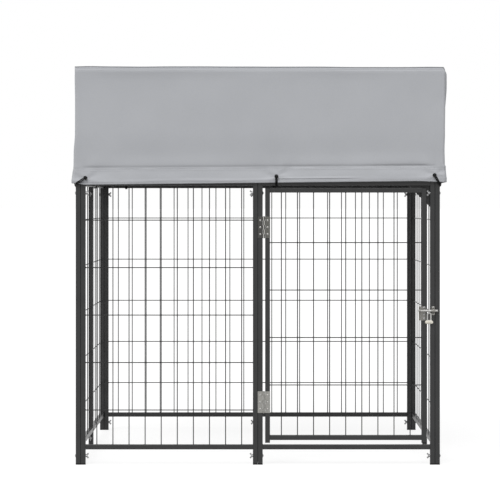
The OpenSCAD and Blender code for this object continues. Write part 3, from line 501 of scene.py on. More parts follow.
# Columns of the cover as (side, share along it, corner turn), anticlockwise from the front left
COLUMNS = []
for side in (FRONT, RIGHT, BACK, LEFT):
    count = FRONT_COLUMNS if side in (FRONT, BACK) else SIDE_COLUMNS
    COLUMNS.extend((side, i / count, None) for i in range(count + 1))
    COLUMNS.extend((side, 1.0, (i + 1) / (CORNER_COLUMNS + 1)) for i in range(CORNER_COLUMNS))
# Room between the frame and the cloth, over and before it and at its sides
CLOTH_GAP = 0.4
SIDE_GAP = 5.0
EDGE_X = FRAME_X + SIDE_GAP + CLOTH_T
EDGE_Y = HALF_W + CLOTH_GAP + CLOTH_T
ROOF_FALL = (ROOF_FRONT - ROOF_BACK) / (BAR_Y + HALF_W)
CORNER_R = 5.5
SEAM_RIDGE = 1.6
# In what follows, swells are (height, middle, width) and waves are (height, size, seed)
# The round top edge, and the band under it that leans outward
TOP_R = 4.5
TOP_BAND = 11.0
TOP_LEAN = 3.0
LEAN_FADE = 120.0
# Rise of the cloth along the front edge of the roof
LIFT_REACH = 110.0
LIFT_FADE = 60.0
LIFT_SWELL = (2.2, -190.0, 330.0)
LIFT_LEFT = (2.4, -565.0, 70.0)
LIFT_WAVES = (1.1, 120.0, 31.0)
# Flare of the walls above the hem, and fold and tilt of the hem
FLARE_TOP = 1099.0
FRONT_FLARE_TOP = 1280.0
HEM_H = HEM_TOP - HEM_Z
HEM_FLARE = 5.0
HEM_FOLD = 1.6
HEM_STEP = 5.0
HEM_TILT = 4.0
HEM_CURVE = 1.5
# Slack of the walls: waves, drop inward in each bay between uprights, and where the edge and the hem hold it
SLACK_WAVES = (1.3, 310.0, 2.0)
SLACK_FINE = (0.5, 95.0, 5.0)
SIDE_SLACK = 2.4
BAY_DROP = 2.2
BAY_START = 10.0
BAY_W = 575.0
EDGE_HOLD = 40.0
HEM_HOLD = 50.0
# Spare cloth of the side walls behind the front corners: (out, depth under the top edge, height) of the bulge and
# (out, place, width, start above the hem, fade) of the kick of the hem
BILLOW_Y = -532.0
BILLOW_W = 36.0
BILLOWS = {
    RIGHT: ((12.4, 40.0, 98.0), (3.6, -560.0, 90.0, 9.0, 10.0)),
    LEFT: ((3.0, 28.0, 74.0), (3.4, -575.0, 70.0, 6.0, 22.0)),
}
# Shift of the cover to the right, with what the upper half of its front adds and where the side bungees hold it
COVER_SHIFT = 4.0
FRONT_SHIFT = 2.8
SHIFT_REACH = 120.0
SHIFT_LOW = 1030.0
SHIFT_FADE = 60.0
SIDE_HOLD = (75.0, 45.0)
# Cloth that bulges over the hem and tucks in behind its top edge
FOLD_BULGE = (0.8, 20.0, 17.0)
FOLD_TUCK = (2.2, 1.4, 4.6)
FOLD_DEPTH = 0.8
FOLD_WAVES = (0.55, 170.0, 9.0)
FOLD_MARGIN = 12.0
FOLD_FADE = 50.0
# Waves of the hem, its crease, and a sharp fold right of the middle of the front
HEM_CALM = 3.0
HEM_WAVES = (0.9, 60.0, 13.0)
CREASE = 0.66
CREASE_Z = 12.0
CREASE_W = 4.0
CREASE_WAVES = (1.1, 90.0, 1.0)
CREASE_WANDER = (4.0, 240.0, 3.0)
SHARP_START, SHARP_RISE = 30.0, 60.0
SHARP_END, SHARP_FALL = 350.0, 90.0
SHARP_RIDGE = (0.9, 14.5, 3.0)
SHARP_GROOVE = (1.3, 10.0, 2.4)
# How far the front hem rides off level
HEM_SLOPE = 0.0065
HEM_TWIST = 0.0048
HEM_RISE = 1.2
RISE_REACH = 320.0
RISE_LEFT_FADE = 36.0
RISE_RIGHT_FADE = 90.0
RISE_RIGHT_SHARE = 0.5
# Creases that fan out from the front eyelets
PUCKER_H = 1.5
PUCKER_REACH = 60.0
PUCKER_START = 22.0
PUCKER_COUNT = 5.0
PUCKER_TURN = 0.6
# Sag of the roof between the rafters
SAG = 9.0
SAG_WAVES = (1.4, 140.0, 21.0)
BAY_POWER = 0.8
RUN_POWER = 0.7
# Rows of the mesh: inside of the hem, its round lower edge, its outside, the fold over it and the wall
HEM_LINING = 1.0
HEM_EDGE = 3.0
HEM_ROUND = 1.2
LINING_DEPTHS = (6.0, 22.0, 38.0)
ROUND_TURNS = (0.25, 0.5, 0.75)
FOLD_ROWS_LOW, FOLD_ROWS_HIGH = 8.0, 18.0
HEM_ROW_STEP, FOLD_ROW_STEP = 2.0, 1.6
WALL_LOW = HEM_TOP + 18.5
WALL_SHARES = np.concatenate((np.linspace(0.0, 0.93, 27), np.linspace(0.94, 1.0, 8)))
HEM_ROW = 8


def roof_height(x, y):
    """Outer face of the cloth over the roof frame, which rides up a little along the front edge."""
    fall = (max(y, -BAR_Y) + BAR_Y) * ROOF_FALL
    front_edge = ease(1.0 - (y + EDGE_Y) / LIFT_REACH)
    lift = swell(x, *LIFT_SWELL) + ripple(x, 0.0, 0.0, *LIFT_WAVES)
    lift = lift * ease((EDGE_X - abs(x)) / LIFT_FADE) + swell(x, *LIFT_LEFT)
    return ROOF_FRONT - fall + front_edge * lift + CLOTH_GAP + CLOTH_T


def on_outline(side, share, turn):
    """Point and outward direction on the outline of the cover, a rectangle with round corners."""
    normal, along = SIDE_NORMALS[side], SIDE_NORMALS[(side + 1) % 4]
    half_out, half_along = (EDGE_Y, EDGE_X) if side in (FRONT, BACK) else (EDGE_X, EDGE_Y)
    half_along -= CORNER_R
    if turn is None:
        return half_out * normal + (2.0 * share - 1.0) * half_along * along, normal
    angle = turn * math.pi / 2
    out = math.cos(angle) * normal + math.sin(angle) * along
    return (half_out - CORNER_R) * normal + half_along * along + CORNER_R * out, out


def under_edge(z, top):
    """Share from 0 at the top edge of a wall to 1 below the band along it."""
    return clamp((top - z) / TOP_BAND)


def hem_lean(z):
    """Share of the hem's tilt at a height: steeper in its upper half."""
    down = (HEM_TOP - z) / HEM_H
    return HEM_CURVE * down + (1.0 - HEM_CURVE) * down * down


def flare(side, z, top):
    """Distance that a wall stands out at a height: its flare, the fold of its hem and the lean of its band."""
    start = min(FRONT_FLARE_TOP if side == FRONT else FLARE_TOP, top)
    swing = HEM_FLARE * ease((start - z) / max(start - HEM_TOP, 1.0))
    fold = HEM_FOLD + HEM_TILT * (hem_lean(z) - hem_lean(EYELET_Z))
    stand = swing + fold * ease((HEM_TOP - z) / HEM_STEP)
    return stand + TOP_LEAN * under_edge(z, top) * ease((z - HEM_TOP) / LEAN_FADE)


def slack(side, x, y, z, top):
    """Soft waves of a wall, and its drop inward between the uprights of the roof frame."""
    along, amount = (x, 1.0) if side in (FRONT, BACK) else (y, SIDE_SLACK)
    span = math.sin(math.pi * clamp((abs(along) - BAY_START) / BAY_W))
    drop = BAY_DROP * span * ease((z - HEM_TOP) / HEM_HOLD)
    waves = ripple(x, y, z, *SLACK_WAVES, side) + ripple(x, y, z, *SLACK_FINE, side)
    return amount * ease((top - z) / EDGE_HOLD) * (waves - drop)


def billow(side, y, z, top):
    """Spare cloth that stands out of the side walls behind the front corners, most on the right."""
    if side not in BILLOWS:
        return 0.0
    (bulge, under, height), (kick, kick_y, kick_w, above, fade) = BILLOWS[side]
    corner = bulge * hill(y, BILLOW_Y, BILLOW_W) * hill(z, top - under, height)
    return corner + swell(y, kick, kick_y, kick_w) * ease((HEM_TOP + above - z) / fade)


def sideways(y, z, top):
    """How far the cover sits to the right: least at the side bungees, most in the upper half of its front."""
    held = hill(y, SIDE_EYELET_Y, SIDE_HOLD[0]) * hill(z, EYELET_Z, SIDE_HOLD[1])
    upper = ease((z - SHIFT_LOW) / SHIFT_FADE) * under_edge(z, top)
    return COVER_SHIFT * (1.0 - held) + FRONT_SHIFT * upper * ease(1.0 - (y + EDGE_Y) / SHIFT_REACH)


def hem_fold(side, x, y, z):
    """Cloth that bulges over the hem and tucks in behind its top edge, less so at the corners."""
    along, half = (x, EDGE_X) if side in (FRONT, BACK) else (y, EDGE_Y)
    depth = FOLD_DEPTH + ripple(x, y, 0.0, *FOLD_WAVES, side)
    depth *= ease((half - FOLD_MARGIN - abs(along)) / FOLD_FADE)
    above = z - HEM_TOP
    return depth * (swell(above, *FOLD_BULGE) - swell(above, *FOLD_TUCK))


def hem_waves(side, x, y, z):
    """Waves of the hem band, and the creases along it."""
    if z > HEM_TOP - HEM_CALM:
        return 0.0
    rise = z - HEM_Z
    waves = ripple(x, y, 2.0 * z, *HEM_WAVES, side)
    crease_z = CREASE_Z + ripple(x, y, 0.0, *CREASE_WANDER)
    waves += (CREASE + ripple(x, y, 0.0, *CREASE_WAVES)) * hill(rise, crease_z, CREASE_W)
    if side == FRONT:
        sharp = ease((x - SHARP_START) / SHARP_RISE) * ease((SHARP_END - x) / SHARP_FALL)
        waves += sharp * (swell(rise, *SHARP_RIDGE) - swell(rise, *SHARP_GROOVE))
    return waves


def hem_drop(x, y, z):
    """How far the hem rides off level near the front: lower up to its left corner, higher round its right one."""
    share = ease((FLARE_TOP - z) / (FLARE_TOP - HEM_TOP)) * ease(1.0 - (y + EDGE_Y) / RISE_REACH)
    share *= ease((EDGE_X + x) / RISE_LEFT_FADE)
    share *= RISE_RIGHT_SHARE + (1.0 - RISE_RIGHT_SHARE) * ease((EDGE_X - x) / RISE_RIGHT_FADE)
    down = clamp((HEM_TOP - z) / HEM_H)
    return share * (HEM_SLOPE * x + down * (HEM_TWIST * x + HEM_RISE))


def puckers(side, x, z):
    """Creases that fan out from the front eyelets, where the bungees pull."""
    if side != FRONT:
        return 0.0
    pull = 0.0
    for eye_x, eye_z in FRONT_EYELETS:
        reach = math.hypot(x - eye_x, z - eye_z)
        spin = math.atan2(z - eye_z, x - eye_x)
        fan = math.cos(PUCKER_COUNT * spin + PUCKER_TURN)
        pull += PUCKER_H * math.exp(-reach / PUCKER_REACH) * fan * ease(reach / PUCKER_START)
    return pull


def wall_shape(side, x, y, z, top):
    """Flare, folds and slack of the hanging cloth, as a distance outward."""
    return (flare(side, z, top) + slack(side, x, y, z, top) + billow(side, y, z, top) + hem_fold(side, x, y, z)
            + hem_waves(side, x, y, z) + puckers(side, x, z))


def column_place(column, z=None, depth=0.0):
    """Point on the outer face of the hanging cloth at a height, moved inward by depth, with its outward direction
    and the height of the wall's top edge."""
    side, share, turn = column
    (x, y), out = on_outline(side, share, turn)
    top = roof_height(x, y) - TOP_R
    z = top if z is None else min(z, top)
    stand = wall_shape(side, x, y, z, top) - depth
    if turn is not None:
        there = wall_shape((side + 1) % 4, x, y, z, top) - depth
        stand += (there - stand) * ease(turn) + SEAM_RIDGE * ease(1.0 - abs(2.0 * turn - 1.0))
    place = np.array((x + out[0] * stand + sideways(y, z, top), y + out[1] * stand, z + hem_drop(x, y, z)))
    return place, np.array((out[0], out[1], 0.0)), top


def sag(x, y):
    """How far the roof cloth hangs between the rafters."""
    bay = math.sin(math.pi * min(abs(x) / EDGE_X, 1.0)) ** BAY_POWER
    run = math.sin(math.pi * clamp((y + BAR_Y) / (BAR_Y + EDGE_Y))) ** RUN_POWER
    return bay * run * (SAG + ripple(x, y, 0.0, *SAG_WAVES))


def top_round(column, edge_point, turn):
    """Point on the round top edge, from the wall at turn 0 to the roof at turn 1."""
    out = column_place(column)[1]
    angle = turn * math.pi / 2
    point = edge_point - TOP_R * (1.0 - math.cos(angle)) * out
    point[2] += TOP_R * math.sin(angle)
    return point


def cover_rows():
    """Rows of the cover from the inside of the hem, round its edge and up the walls to the roof's rim, and the
    number of rows up to the top of the walls."""
    lining = CLOTH_T + HEM_LINING
    edge_z = HEM_Z + HEM_EDGE
    rows = []
    for z in (*(HEM_TOP - depth for depth in LINING_DEPTHS), edge_z):
        rows.append([column_place(c, z, lining)[0] for c in COLUMNS])
    for turn in ROUND_TURNS:
        depth = lining * (0.5 + 0.5 * math.cos(math.pi * turn))
        fall = HEM_EDGE - HEM_ROUND + HEM_ROUND * math.sin(math.pi * turn)
        rows.append([column_place(c, edge_z, depth)[0] - (0, 0, fall) for c in COLUMNS])
    hem_rows = np.arange(edge_z, HEM_TOP - FOLD_ROWS_LOW, HEM_ROW_STEP)
    fold_rows = np.arange(HEM_TOP - FOLD_ROWS_LOW, HEM_TOP + FOLD_ROWS_HIGH, FOLD_ROW_STEP)
    for z in np.concatenate((hem_rows, fold_rows)):
        rows.append([column_place(c, z)[0] for c in COLUMNS])
    tops = [column_place(c)[2] for c in COLUMNS]
    for share in WALL_SHARES:
        heights = [WALL_LOW + share * (top - WALL_LOW) if top > WALL_LOW else top for top in tops]
        rows.append([column_place(c, z)[0] for c, z in zip(COLUMNS, heights)])
    wall_rows = len(rows)
    edge = rows[-1]
    for turn in (*ROUND_TURNS, 1.0):
        rows.append([top_round(c, p, turn) for c, p in zip(COLUMNS, edge)])
    return rows, wall_rows


def roof_grid(rim, first_rim, first_grid):
    """Points of the roof inside its rim and the faces that join them, numbered from the two given firsts."""
    across, deep = FRONT_COLUMNS, SIDE_COLUMNS
    starts = [COLUMNS.index((side, 0.0, None)) for side in (FRONT, RIGHT, BACK, LEFT)]
    points, faces = [], []
    for j in range(deep + 1):
        left, right = rim[starts[LEFT] + deep - j], rim[starts[RIGHT] + j]
        for i in range(across + 1):
            front, back = rim[i], rim[starts[BACK] + across - i]
            x = front[0] + (back[0] - front[0]) * j / deep
            y = left[1] + (right[1] - left[1]) * i / across
            points.append(np.array((x, y, roof_height(x, y) - sag(x, y))))

    def grid(i, j):
        return first_grid + j * (across + 1) + i

    def edge(k):
        return first_rim + k % len(rim)

    for j in range(deep):
        for i in range(across):
            faces.append((grid(i, j), grid(i + 1, j), grid(i + 1, j + 1), grid(i, j + 1)))
    inner = {
        FRONT: [grid(i, 0) for i in range(across + 1)],
        RIGHT: [grid(across, j) for j in range(deep + 1)],
        BACK: [grid(across - i, deep) for i in range(across + 1)],
        LEFT: [grid(0, deep - j) for j in range(deep + 1)],
    }
    for side, line in inner.items():
        start = starts[side]
        end = start + len(line) - 1
        faces.extend((edge(start + k), edge(start + k + 1), line[k + 1], line[k]) for k in range(end - start))
        faces.extend((edge(end + k), edge(end + k + 1), line[-1]) for k in range(CORNER_COLUMNS + 1))
    return points, faces


def build_cover():
    """The sewn cover as one sheet, with UVs along the threads of its walls and roof."""
    rows, wall_rows = cover_rows()
    width = len(COLUMNS)
    points = [p for row in rows for p in row]
    faces = tube_faces(len(rows), width, closed_ends=False)
    run = run_along([*rows[HEM_ROW], rows[HEM_ROW][0]])
    uvs = []
    for j in range(wall_rows + 1):
        for k in range(width):
            corners = ((k, j), (k + 1, j), (k + 1, j + 1), (k, j + 1))
            uvs.extend((run[c], rows[r][c % width][2]) for c, r in corners)
    roof_points, roof_faces = roof_grid(rows[-1], (len(rows) - 1) * width, len(points))
    points.extend(roof_points)
    faces.extend(roof_faces)
    for face in faces[(wall_rows + 1) * width:]:
        uvs.extend((points[index][0], points[index][1]) for index in face)
    cover = make_piece("fabric_cover", points, faces, cover_cloth, "frame")
    set_uvs(cover, "weave", uvs)
    thicken = cover.modifiers.new("cloth", "SOLIDIFY")
    thicken.thickness = CLOTH_T * MM
    thicken.offset = -1.0
    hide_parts("cover_front", "cover_roof", "cover_left_side", "cover_right_side", "cover_back")
    return cover


cover = build_cover()

# Stitches: sizes, shape as (share of the length, share of the thickness), and the heights of their rows
STITCH_L = 3.6
STITCH_PITCH = 5.6
STITCH_LIFT = 0.35
STITCH_R = 0.4
STITCH_SINK = 0.5
STITCH_FLAT = 0.7
STITCH_SIDES = 6
STITCH_SHAPE = ((0.0, 0.35), (0.25, 1.0), (0.75, 1.0), (1.0, 0.35))
HEM_SEAMS = (HEM_TOP - 4.0, HEM_TOP - 9.0, HEM_Z + 7.0)
EDGE_SEAMS = (3.0, 9.0)
# Piping: radius, place round the top edge, distance out of it
PIPING_R = 1.7
PIPING_SIDES = 8
PIPING_TURN = 0.55
PIPING_OUT = 0.5


def stitch_row(builder, heights):
    """Stitches round the cover, at a height for each of its columns."""
    track = [column_place(c, z) for c, z in zip(COLUMNS, heights)]
    track.append(track[0])
    points, outs = (np.array([column[i] for column in track]) for i in range(2))
    run = run_along(points)

    def at(s):
        place = np.array([np.interp(s, run, points[:, i]) for i in range(3)])
        out = unit([np.interp(s, run, outs[:, i]) for i in range(3)])
        return place + STITCH_LIFT * out, out

    for s in np.arange(0.0, run[-1] - STITCH_PITCH, STITCH_PITCH):
        start, _ = at(s)
        end, out = at(s + STITCH_L)
        up = np.cross(unit(end - start), out)
        stitch = []
        for share, size in STITCH_SHAPE:
            middle = start + share * (end - start) - (1.0 - size) * STITCH_SINK * out
            radius = STITCH_R * size
            stitch.extend(ring(middle, radius * up, STITCH_FLAT * radius * out, STITCH_SIDES))
        builder.add(stitch, tube_faces(len(STITCH_SHAPE), STITCH_SIDES))


def build_piping():
    """Bound welt of the seam round the top edge of the cover, in darker cloth that paints shade along the edge.
    """
    path, outs = [], []
    for column in COLUMNS:
        place, out, _ = column_place(column)
        path.append(top_round(column, place, PIPING_TURN) + PIPING_OUT * out)
        outs.append(out)
    count, sides = len(path), PIPING_SIDES
    run = run_along([*path, path[0]])
    girth = 2 * math.pi * PIPING_R / sides
    faces = [tuple(i % (count * sides) for i in face) for face in tube_faces(count + 1, sides, closed_ends=False)]
    points, uvs = [], []
    for i in range(count):
        along = unit(path[(i + 1) % count] - path[i - 1])
        out = unit(outs[i] - np.dot(outs[i], along) * along)
        points.extend(ring(path[i], PIPING_R * out, PIPING_R * np.cross(out, along), sides))
        for k in range(sides):
            corners = ((0, 0), (0, 1), (1, 1), (1, 0))
            uvs.extend((run[i + end], (k + step) * girth) for end, step in corners)
    piece = make_piece("edge_piping", points, faces, shaded_binding_cloth, "frame")
    set_uvs(piece, "weave", uvs)
    return piece


piping = build_piping()
stitches = Builder()
for seam_z in HEM_SEAMS:
    stitch_row(stitches, [seam_z] * len(COLUMNS))
for under in EDGE_SEAMS:
    stitch_row(stitches, [column_place(c)[2] - under for c in COLUMNS])
stitching = make_piece("hem_stitching", stitches.points, stitches.faces, thread, "frame")


# Bungee cords

# Distance of a cord's middle from the tube that it bends round
WRAP = 2.2
CORD_SIDES = 14
CURVE_STEPS = 4
# Distance of each of the two strands from the middle of their loop, in cord diameters
STRAND_SHIFT = 0.58
BALL_R = 6.35
BALL_OUT = 7.35
# Distance of the hem's outer face from the inner face of the cloth above it
HEM_OUT = 8.2


def rail_route(hem_face, z):
    """Route of a cord round a top rail, as (distance out from the rail, height)."""
    ball = hem_face + BALL_OUT
    under = RAIL_Z - WRAP
    front = hem_face + WRAP
    return [
        # from the ball through the eyelet
        (ball - 1.0, z), (hem_face - 1.0, z), (WRAP, z - 1.0),
        # over the rail and down behind it
        (-0.55 * TUBE_W, PANEL_H + CAP_T + 1.6 * WRAP), (-TUBE_W - 0.8 * WRAP, PANEL_H + WRAP),
        (-TUBE_W - 1.2 * WRAP, PANEL_H - 0.4 * TUBE_W), (-TUBE_W - WRAP, RAIL_Z + 0.2 * TUBE_W),
        # under it
        (-TUBE_W - 0.4 * WRAP, under + 0.8), (-0.75 * TUBE_W, under), (-0.2 * TUBE_W, under),
        (0.8 * WRAP, under + 0.6), (1.6 * WRAP, RAIL_Z + 1.0),
        # up in front of the hem to the ball
        (front - 0.6, HEM_Z - 0.9 * WRAP), (front + 0.5, HEM_Z + 2.5),
        (0.4 * front + 0.6 * ball, z - BALL_R - 4.2), (ball, z - BALL_R - 0.3),
    ]


def corner_route(side, ball_x, ball_z):
    """Route of a corner cord: under the side rail, round the corner post and up to its ball."""
    face = EDGE_Y - CLOTH_T + HEM_OUT
    in_x = SIDE_X - TUBE_W / 2 - WRAP
    out_x = FRAME_X + WRAP
    back = BAR_Y - TUBE_W
    ball_y = face + BALL_OUT
    low = RAIL_Z - WRAP
    under = HEM_Z - 1.4 * WRAP
    turn = np.array((out_x - 5.0, face + WRAP + 0.8, under + 2.0))
    ball = np.array((ball_x, ball_y, ball_z))
    stop = ball + (BALL_R + 0.4) * unit((out_x - 3.0 - ball_x, -2.0, under - ball_z))
    route = [
        # from the ball through the eyelet
        (ball_x, ball_y - 1.0, ball_z), (ball_x, face - 1.0, ball_z), (ball_x, HALF_W - 2.0, ball_z - 0.5),
        # over the front rail and down inside the corner
        (ball_x + 1.0, WALL_Y, PANEL_H + CAP_T + 2.0 * WRAP),
        (0.5 * (ball_x + in_x), BAR_Y - 6.0, PANEL_H + CAP_T + 0.9 * WRAP),
        (in_x - 0.6, back + 3.0, PANEL_H - 3.0), (in_x - 0.2, back + 1.0, RAIL_Z + 4.0),
        # under the side rail
        (in_x + 0.5 * WRAP, back, low + 0.4), (SIDE_X - 3.0, back, low - 0.1),
        (SIDE_X + 4.0, back, low - 0.1), (FRAME_X + 0.5 * WRAP, back + 2.0, low + 0.5),
        # forward outside the post, round the hem's edge and up to the ball
        (out_x + 0.4, back + 9.0, low + 1.6), (out_x + 0.4, HALF_W - 12.0, under - 1.0),
        (out_x + 0.2, HALF_W - 2.0, under), (out_x - 1.4, face - 1.8, under), tuple(turn),
        tuple(0.5 * (turn + stop) + (0.0, 0.6, 0.0)), tuple(stop),
    ]
    return [(side * x, -y, z) for x, y, z in route]


def smooth_path(points):
    """Catmull-Rom curve through points."""
    p = [np.array(q, float) for q in points]
    p = [2 * p[0] - p[1], *p, 2 * p[-1] - p[-2]]
    path = []
    for i in range(1, len(p) - 2):
        for k in range(CURVE_STEPS):
            t = k / CURVE_STEPS
            path.append(
                0.5 * (2 * p[i] + (p[i + 1] - p[i - 1]) * t
                       + (2 * p[i - 1] - 5 * p[i] + 4 * p[i + 1] - p[i + 2]) * t * t
                       + (3 * p[i] - p[i - 1] - 3 * p[i + 1] + p[i + 2]) * t ** 3)
            )
    path.append(p[-2])
    return path


def direction(path, i):
    """Direction of a path at one of its points."""
    return unit(path[min(i + 1, len(path) - 1)] - path[max(i - 1, 0)])


def sweep(path, radius, sides):
    """Rings of a tube along a path, carried without twist."""
    across = np.array((0.31, 0.52, 0.8))
    rings = []
    for i, p in enumerate(path):
        along = direction(path, i)
        across = unit(across - np.dot(across, along) * along)
        rings.extend(ring(p, radius * across, radius * np.cross(along, across), sides))
    return rings


def cord_routes():
    """Routes of the loops, each with the outward direction of the face that it ends on."""
    wall = rail_route(CLOTH_GAP + HEM_OUT, EYELET_Z)
    flank = rail_route(SIDE_GAP + HEM_OUT, EYELET_Z)
    yield [(FRONT_EYELETS[0][0], -HALF_W - u, z) for u, z in wall], (0.0, -1.0, 0.0)
    for x in BACK_EYELETS:
        yield [(x, HALF_W + u, z) for u, z in wall], (0.0, 1.0, 0.0)
    for side in (-1.0, 1.0):
        yield [(side * (FRAME_X + u), SIDE_EYELET_Y, z) for u, z in flank], (side, 0.0, 0.0)
    for x, z in FRONT_EYELETS[1:]:
        yield corner_route(math.copysign(1.0, x), abs(x), z), (0.0, -1.0, 0.0)


def strand_paths(path, out):
    """The two strands of a loop, side by side along its path, from the face that it ends on backwards."""
    across = np.cross(unit(path[-1] - path[-2]), np.array(out))
    strands = ([], [])
    for i in reversed(range(len(path))):
        along = direction(path, i)
        across = unit(across - np.dot(across, along) * along)
        for strand, shift in zip(strands, (-STRAND_SHIFT, STRAND_SHIFT)):
            strand.insert(0, path[i] + shift * CORD_D * across)
    return strands


def build_cords():
    """Both strands of every loop, with UVs round and along them."""
    cords, uvs = Builder(), []
    side_w = math.pi * CORD_D / CORD_SIDES
    for route, out in cord_routes():
        for path in strand_paths(smooth_path(route), out):
            cords.add(sweep(path, CORD_D / 2, CORD_SIDES), tube_faces(len(path), CORD_SIDES))
            run = run_along(path)
            for i in range(len(path) - 1):
                for k in range(CORD_SIDES):
                    a, b = side_w * k, side_w * (k + 1)
                    uvs.extend(((a, run[i]), (b, run[i]), (b, run[i + 1]), (a, run[i + 1])))
            uvs.extend([(0.0, 0.0)] * (2 * CORD_SIDES))
    piece = make_piece("bungee_loops", cords.points, cords.faces, elastic_cover, "frame")
    set_uvs(piece, "braid", uvs)
    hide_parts("bungee_cords")


build_cords()


# Welds

WIRE_PITCH = 53.0
SIDE_WIRE_PITCH = 105.0
CROSS_PITCH = 156.4
# Distance of the upright and the cross wires from the middle of their panel
WIRE_SHIFT = 1.408
# Beads: sides, rings, width and height in radii, round ends, ripples as (size, ripples along the bead)
BEAD_SIDES = 8
BEAD_RINGS = 13
BEAD_W = 1.35
BEAD_H = 0.55
BEAD_END = 0.04
BEAD_POWER = 0.35
BEAD_RIPPLE = (0.14, 5.5)
BEAD_WOBBLE = (0.08, 17.0, 3.0)
FACE_BEAD_R, FACE_BEAD_MARGIN = 1.5, 1.6
INNER_BEAD_R, INNER_BEAD_MARGIN = 1.7, 1.5
SEED_STEPS = (1.3, 0.7)
# Beads at the ends of wires: radius, sides and shape as (height, share of the radius)
NUGGET_R = 2.5
NUGGET_SIDES = 10
NUGGET_SHAPE = ((-0.4, 1.0), (0.5, 0.93), (1.2, 0.7), (1.7, 0.4))
# Beads of the stop plate: places along its two edges, radius, half length
STOP_SHARES = (0.15, 0.5, 0.85)
STOP_BEAD_R = 1.6
STOP_BEAD_HALF = 7.0
STOP_TOP_SEED, STOP_SIDE_SEED = 9.0, 5.0


def weld_bead(builder, start, end, out, radius, seed):
    """A short run of weld with ripples, half sunk in the tubes."""
    start, end, out = np.array(start), np.array(end), unit(out)
    across = np.cross(unit(end - start), out)
    size, ripples = BEAD_RIPPLE
    wobble, rate, shift = BEAD_WOBBLE
    points = []
    for i in range(BEAD_RINGS):
        t = i / (BEAD_RINGS - 1)
        r = radius * math.sin(math.pi * min(max(t, BEAD_END), 1.0 - BEAD_END)) ** BEAD_POWER
        r *= 1.0 + size * math.sin(2 * math.pi * ripples * t + seed) + wobble * math.sin(rate * t + shift * seed)
        points.extend(ring(start + t * (end - start), BEAD_W * r * across, BEAD_H * r * out, BEAD_SIDES))
    builder.add(points, tube_faces(BEAD_RINGS, BEAD_SIDES))


def wire_places(span, pitch):
    """Places of the wires of a mesh across a span, as the CAD source spaces them."""
    count = math.floor(span / pitch - 0.2)
    return [span / 2 + (i - (count - 1) / 2) * pitch for i in range(count)]


def nugget(builder, place, axis):
    """Flattened bead where a wire is welded to a tube."""
    place, axis = np.array(place), np.array(axis, float)
    side = np.array((0.0, 1.0, 0.0))
    other = np.cross(axis, side)
    points = []
    for height, share in NUGGET_SHAPE:
        r = NUGGET_R * share
        points.extend(ring(place + height * axis, r * side, r * other, NUGGET_SIDES))
    builder.add(points, tube_faces(len(NUGGET_SHAPE), NUGGET_SIDES))


def frame_welds(width, low, high):
    """Welds of one rectangular frame, in its own plane: x along it, y through it and z up."""
    local = Builder()
    half = TUBE_W / 2
    deep = half - INNER_BEAD_MARGIN
    seed = 0.0
    for x, inward in ((TUBE_W, 1.0), (width - TUBE_W, -1.0)):
        for z, up in ((low, 1.0), (high - TUBE_W, -1.0)):
            bottom, top = z + FACE_BEAD_MARGIN, z + TUBE_W - FACE_BEAD_MARGIN
            for y in (-half, half):
                weld_bead(local, (x, y, bottom), (x, y, top), (0, y, 0), FACE_BEAD_R, seed)
                seed += SEED_STEPS[0]
            edge = z + TUBE_W if up > 0 else z
            weld_bead(local, (x, -deep, edge), (x, deep, edge), (inward, 0, up), INNER_BEAD_R, seed)
            seed += SEED_STEPS[1]
    return local


def wire_welds(width, low, high, pitch):
    """Weld beads at both ends of each wire of a mesh with upright wires at a pitch."""
    local = Builder()
    inner_low, inner_high = low + TUBE_W, high - TUBE_W
    for x in wire_places(width - 2 * TUBE_W, pitch):
        for z, up in ((inner_low, 1.0), (inner_high, -1.0)):
            nugget(local, (TUBE_W + x, -WIRE_SHIFT, z), (0, 0, up))
    for z in wire_places(inner_high - inner_low, CROSS_PITCH):
        for x, inward in ((TUBE_W, 1.0), (width - TUBE_W, -1.0)):
            nugget(local, (x, WIRE_SHIFT, inner_low + z), (inward, 0, 0))
    return local


def placed(builder, local, origin, turned):
    """Adds a frame's own shapes at its place, turned a quarter about Z for a side of the run."""
    points = []
    for x, y, z in local.points:
        if turned:
            x, y = -y, x
        points.append((x + origin[0], y + origin[1], z))
    builder.add(points, local.faces)


# The wall panels: where each one starts, and whether it stands along a side of the run
STARTS = (-HALF_W, JOINT_GAP / 2)
PANELS = [((x, y), False) for y in (-WALL_Y, WALL_Y) for x in STARTS]
PANELS += [((x, y), True) for x in (-SIDE_X, SIDE_X) for y in STARTS]
GATE_SURROUND = (JOINT_GAP / 2, -WALL_Y)
panel_welds = Builder()
for origin, turned in PANELS:
    placed(panel_welds, frame_welds(PANEL_W, LEG_H, PANEL_H), origin, turned)
    if origin != GATE_SURROUND:
        pitch = SIDE_WIRE_PITCH if turned else WIRE_PITCH
        placed(panel_welds, wire_welds(PANEL_W, LEG_H, PANEL_H, pitch), origin, turned)
stop_low, stop_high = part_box("gate_stop")
stop_left, stop_right = stop_low[0] / MM, stop_high[0] / MM
stop_foot, stop_top = stop_low[2] / MM, stop_high[2] / MM
for share in STOP_SHARES:
    x = stop_left + share * (stop_right - stop_left)
    ends = [(x + half, -BAR_Y, stop_top) for half in (-STOP_BEAD_HALF, STOP_BEAD_HALF)]
    weld_bead(panel_welds, *ends, (0, 1, 1), STOP_BEAD_R, STOP_TOP_SEED * share)
    z = stop_foot + share * (stop_top - stop_foot)
    ends = [(stop_right, -BAR_Y, z + half) for half in (-STOP_BEAD_HALF, STOP_BEAD_HALF)]
    weld_bead(panel_welds, *ends, (1, 1, 0), STOP_BEAD_R, STOP_SIDE_SEED * share)
make_piece("panel_welds", panel_welds.points, panel_welds.faces, tube_coat, "frame")

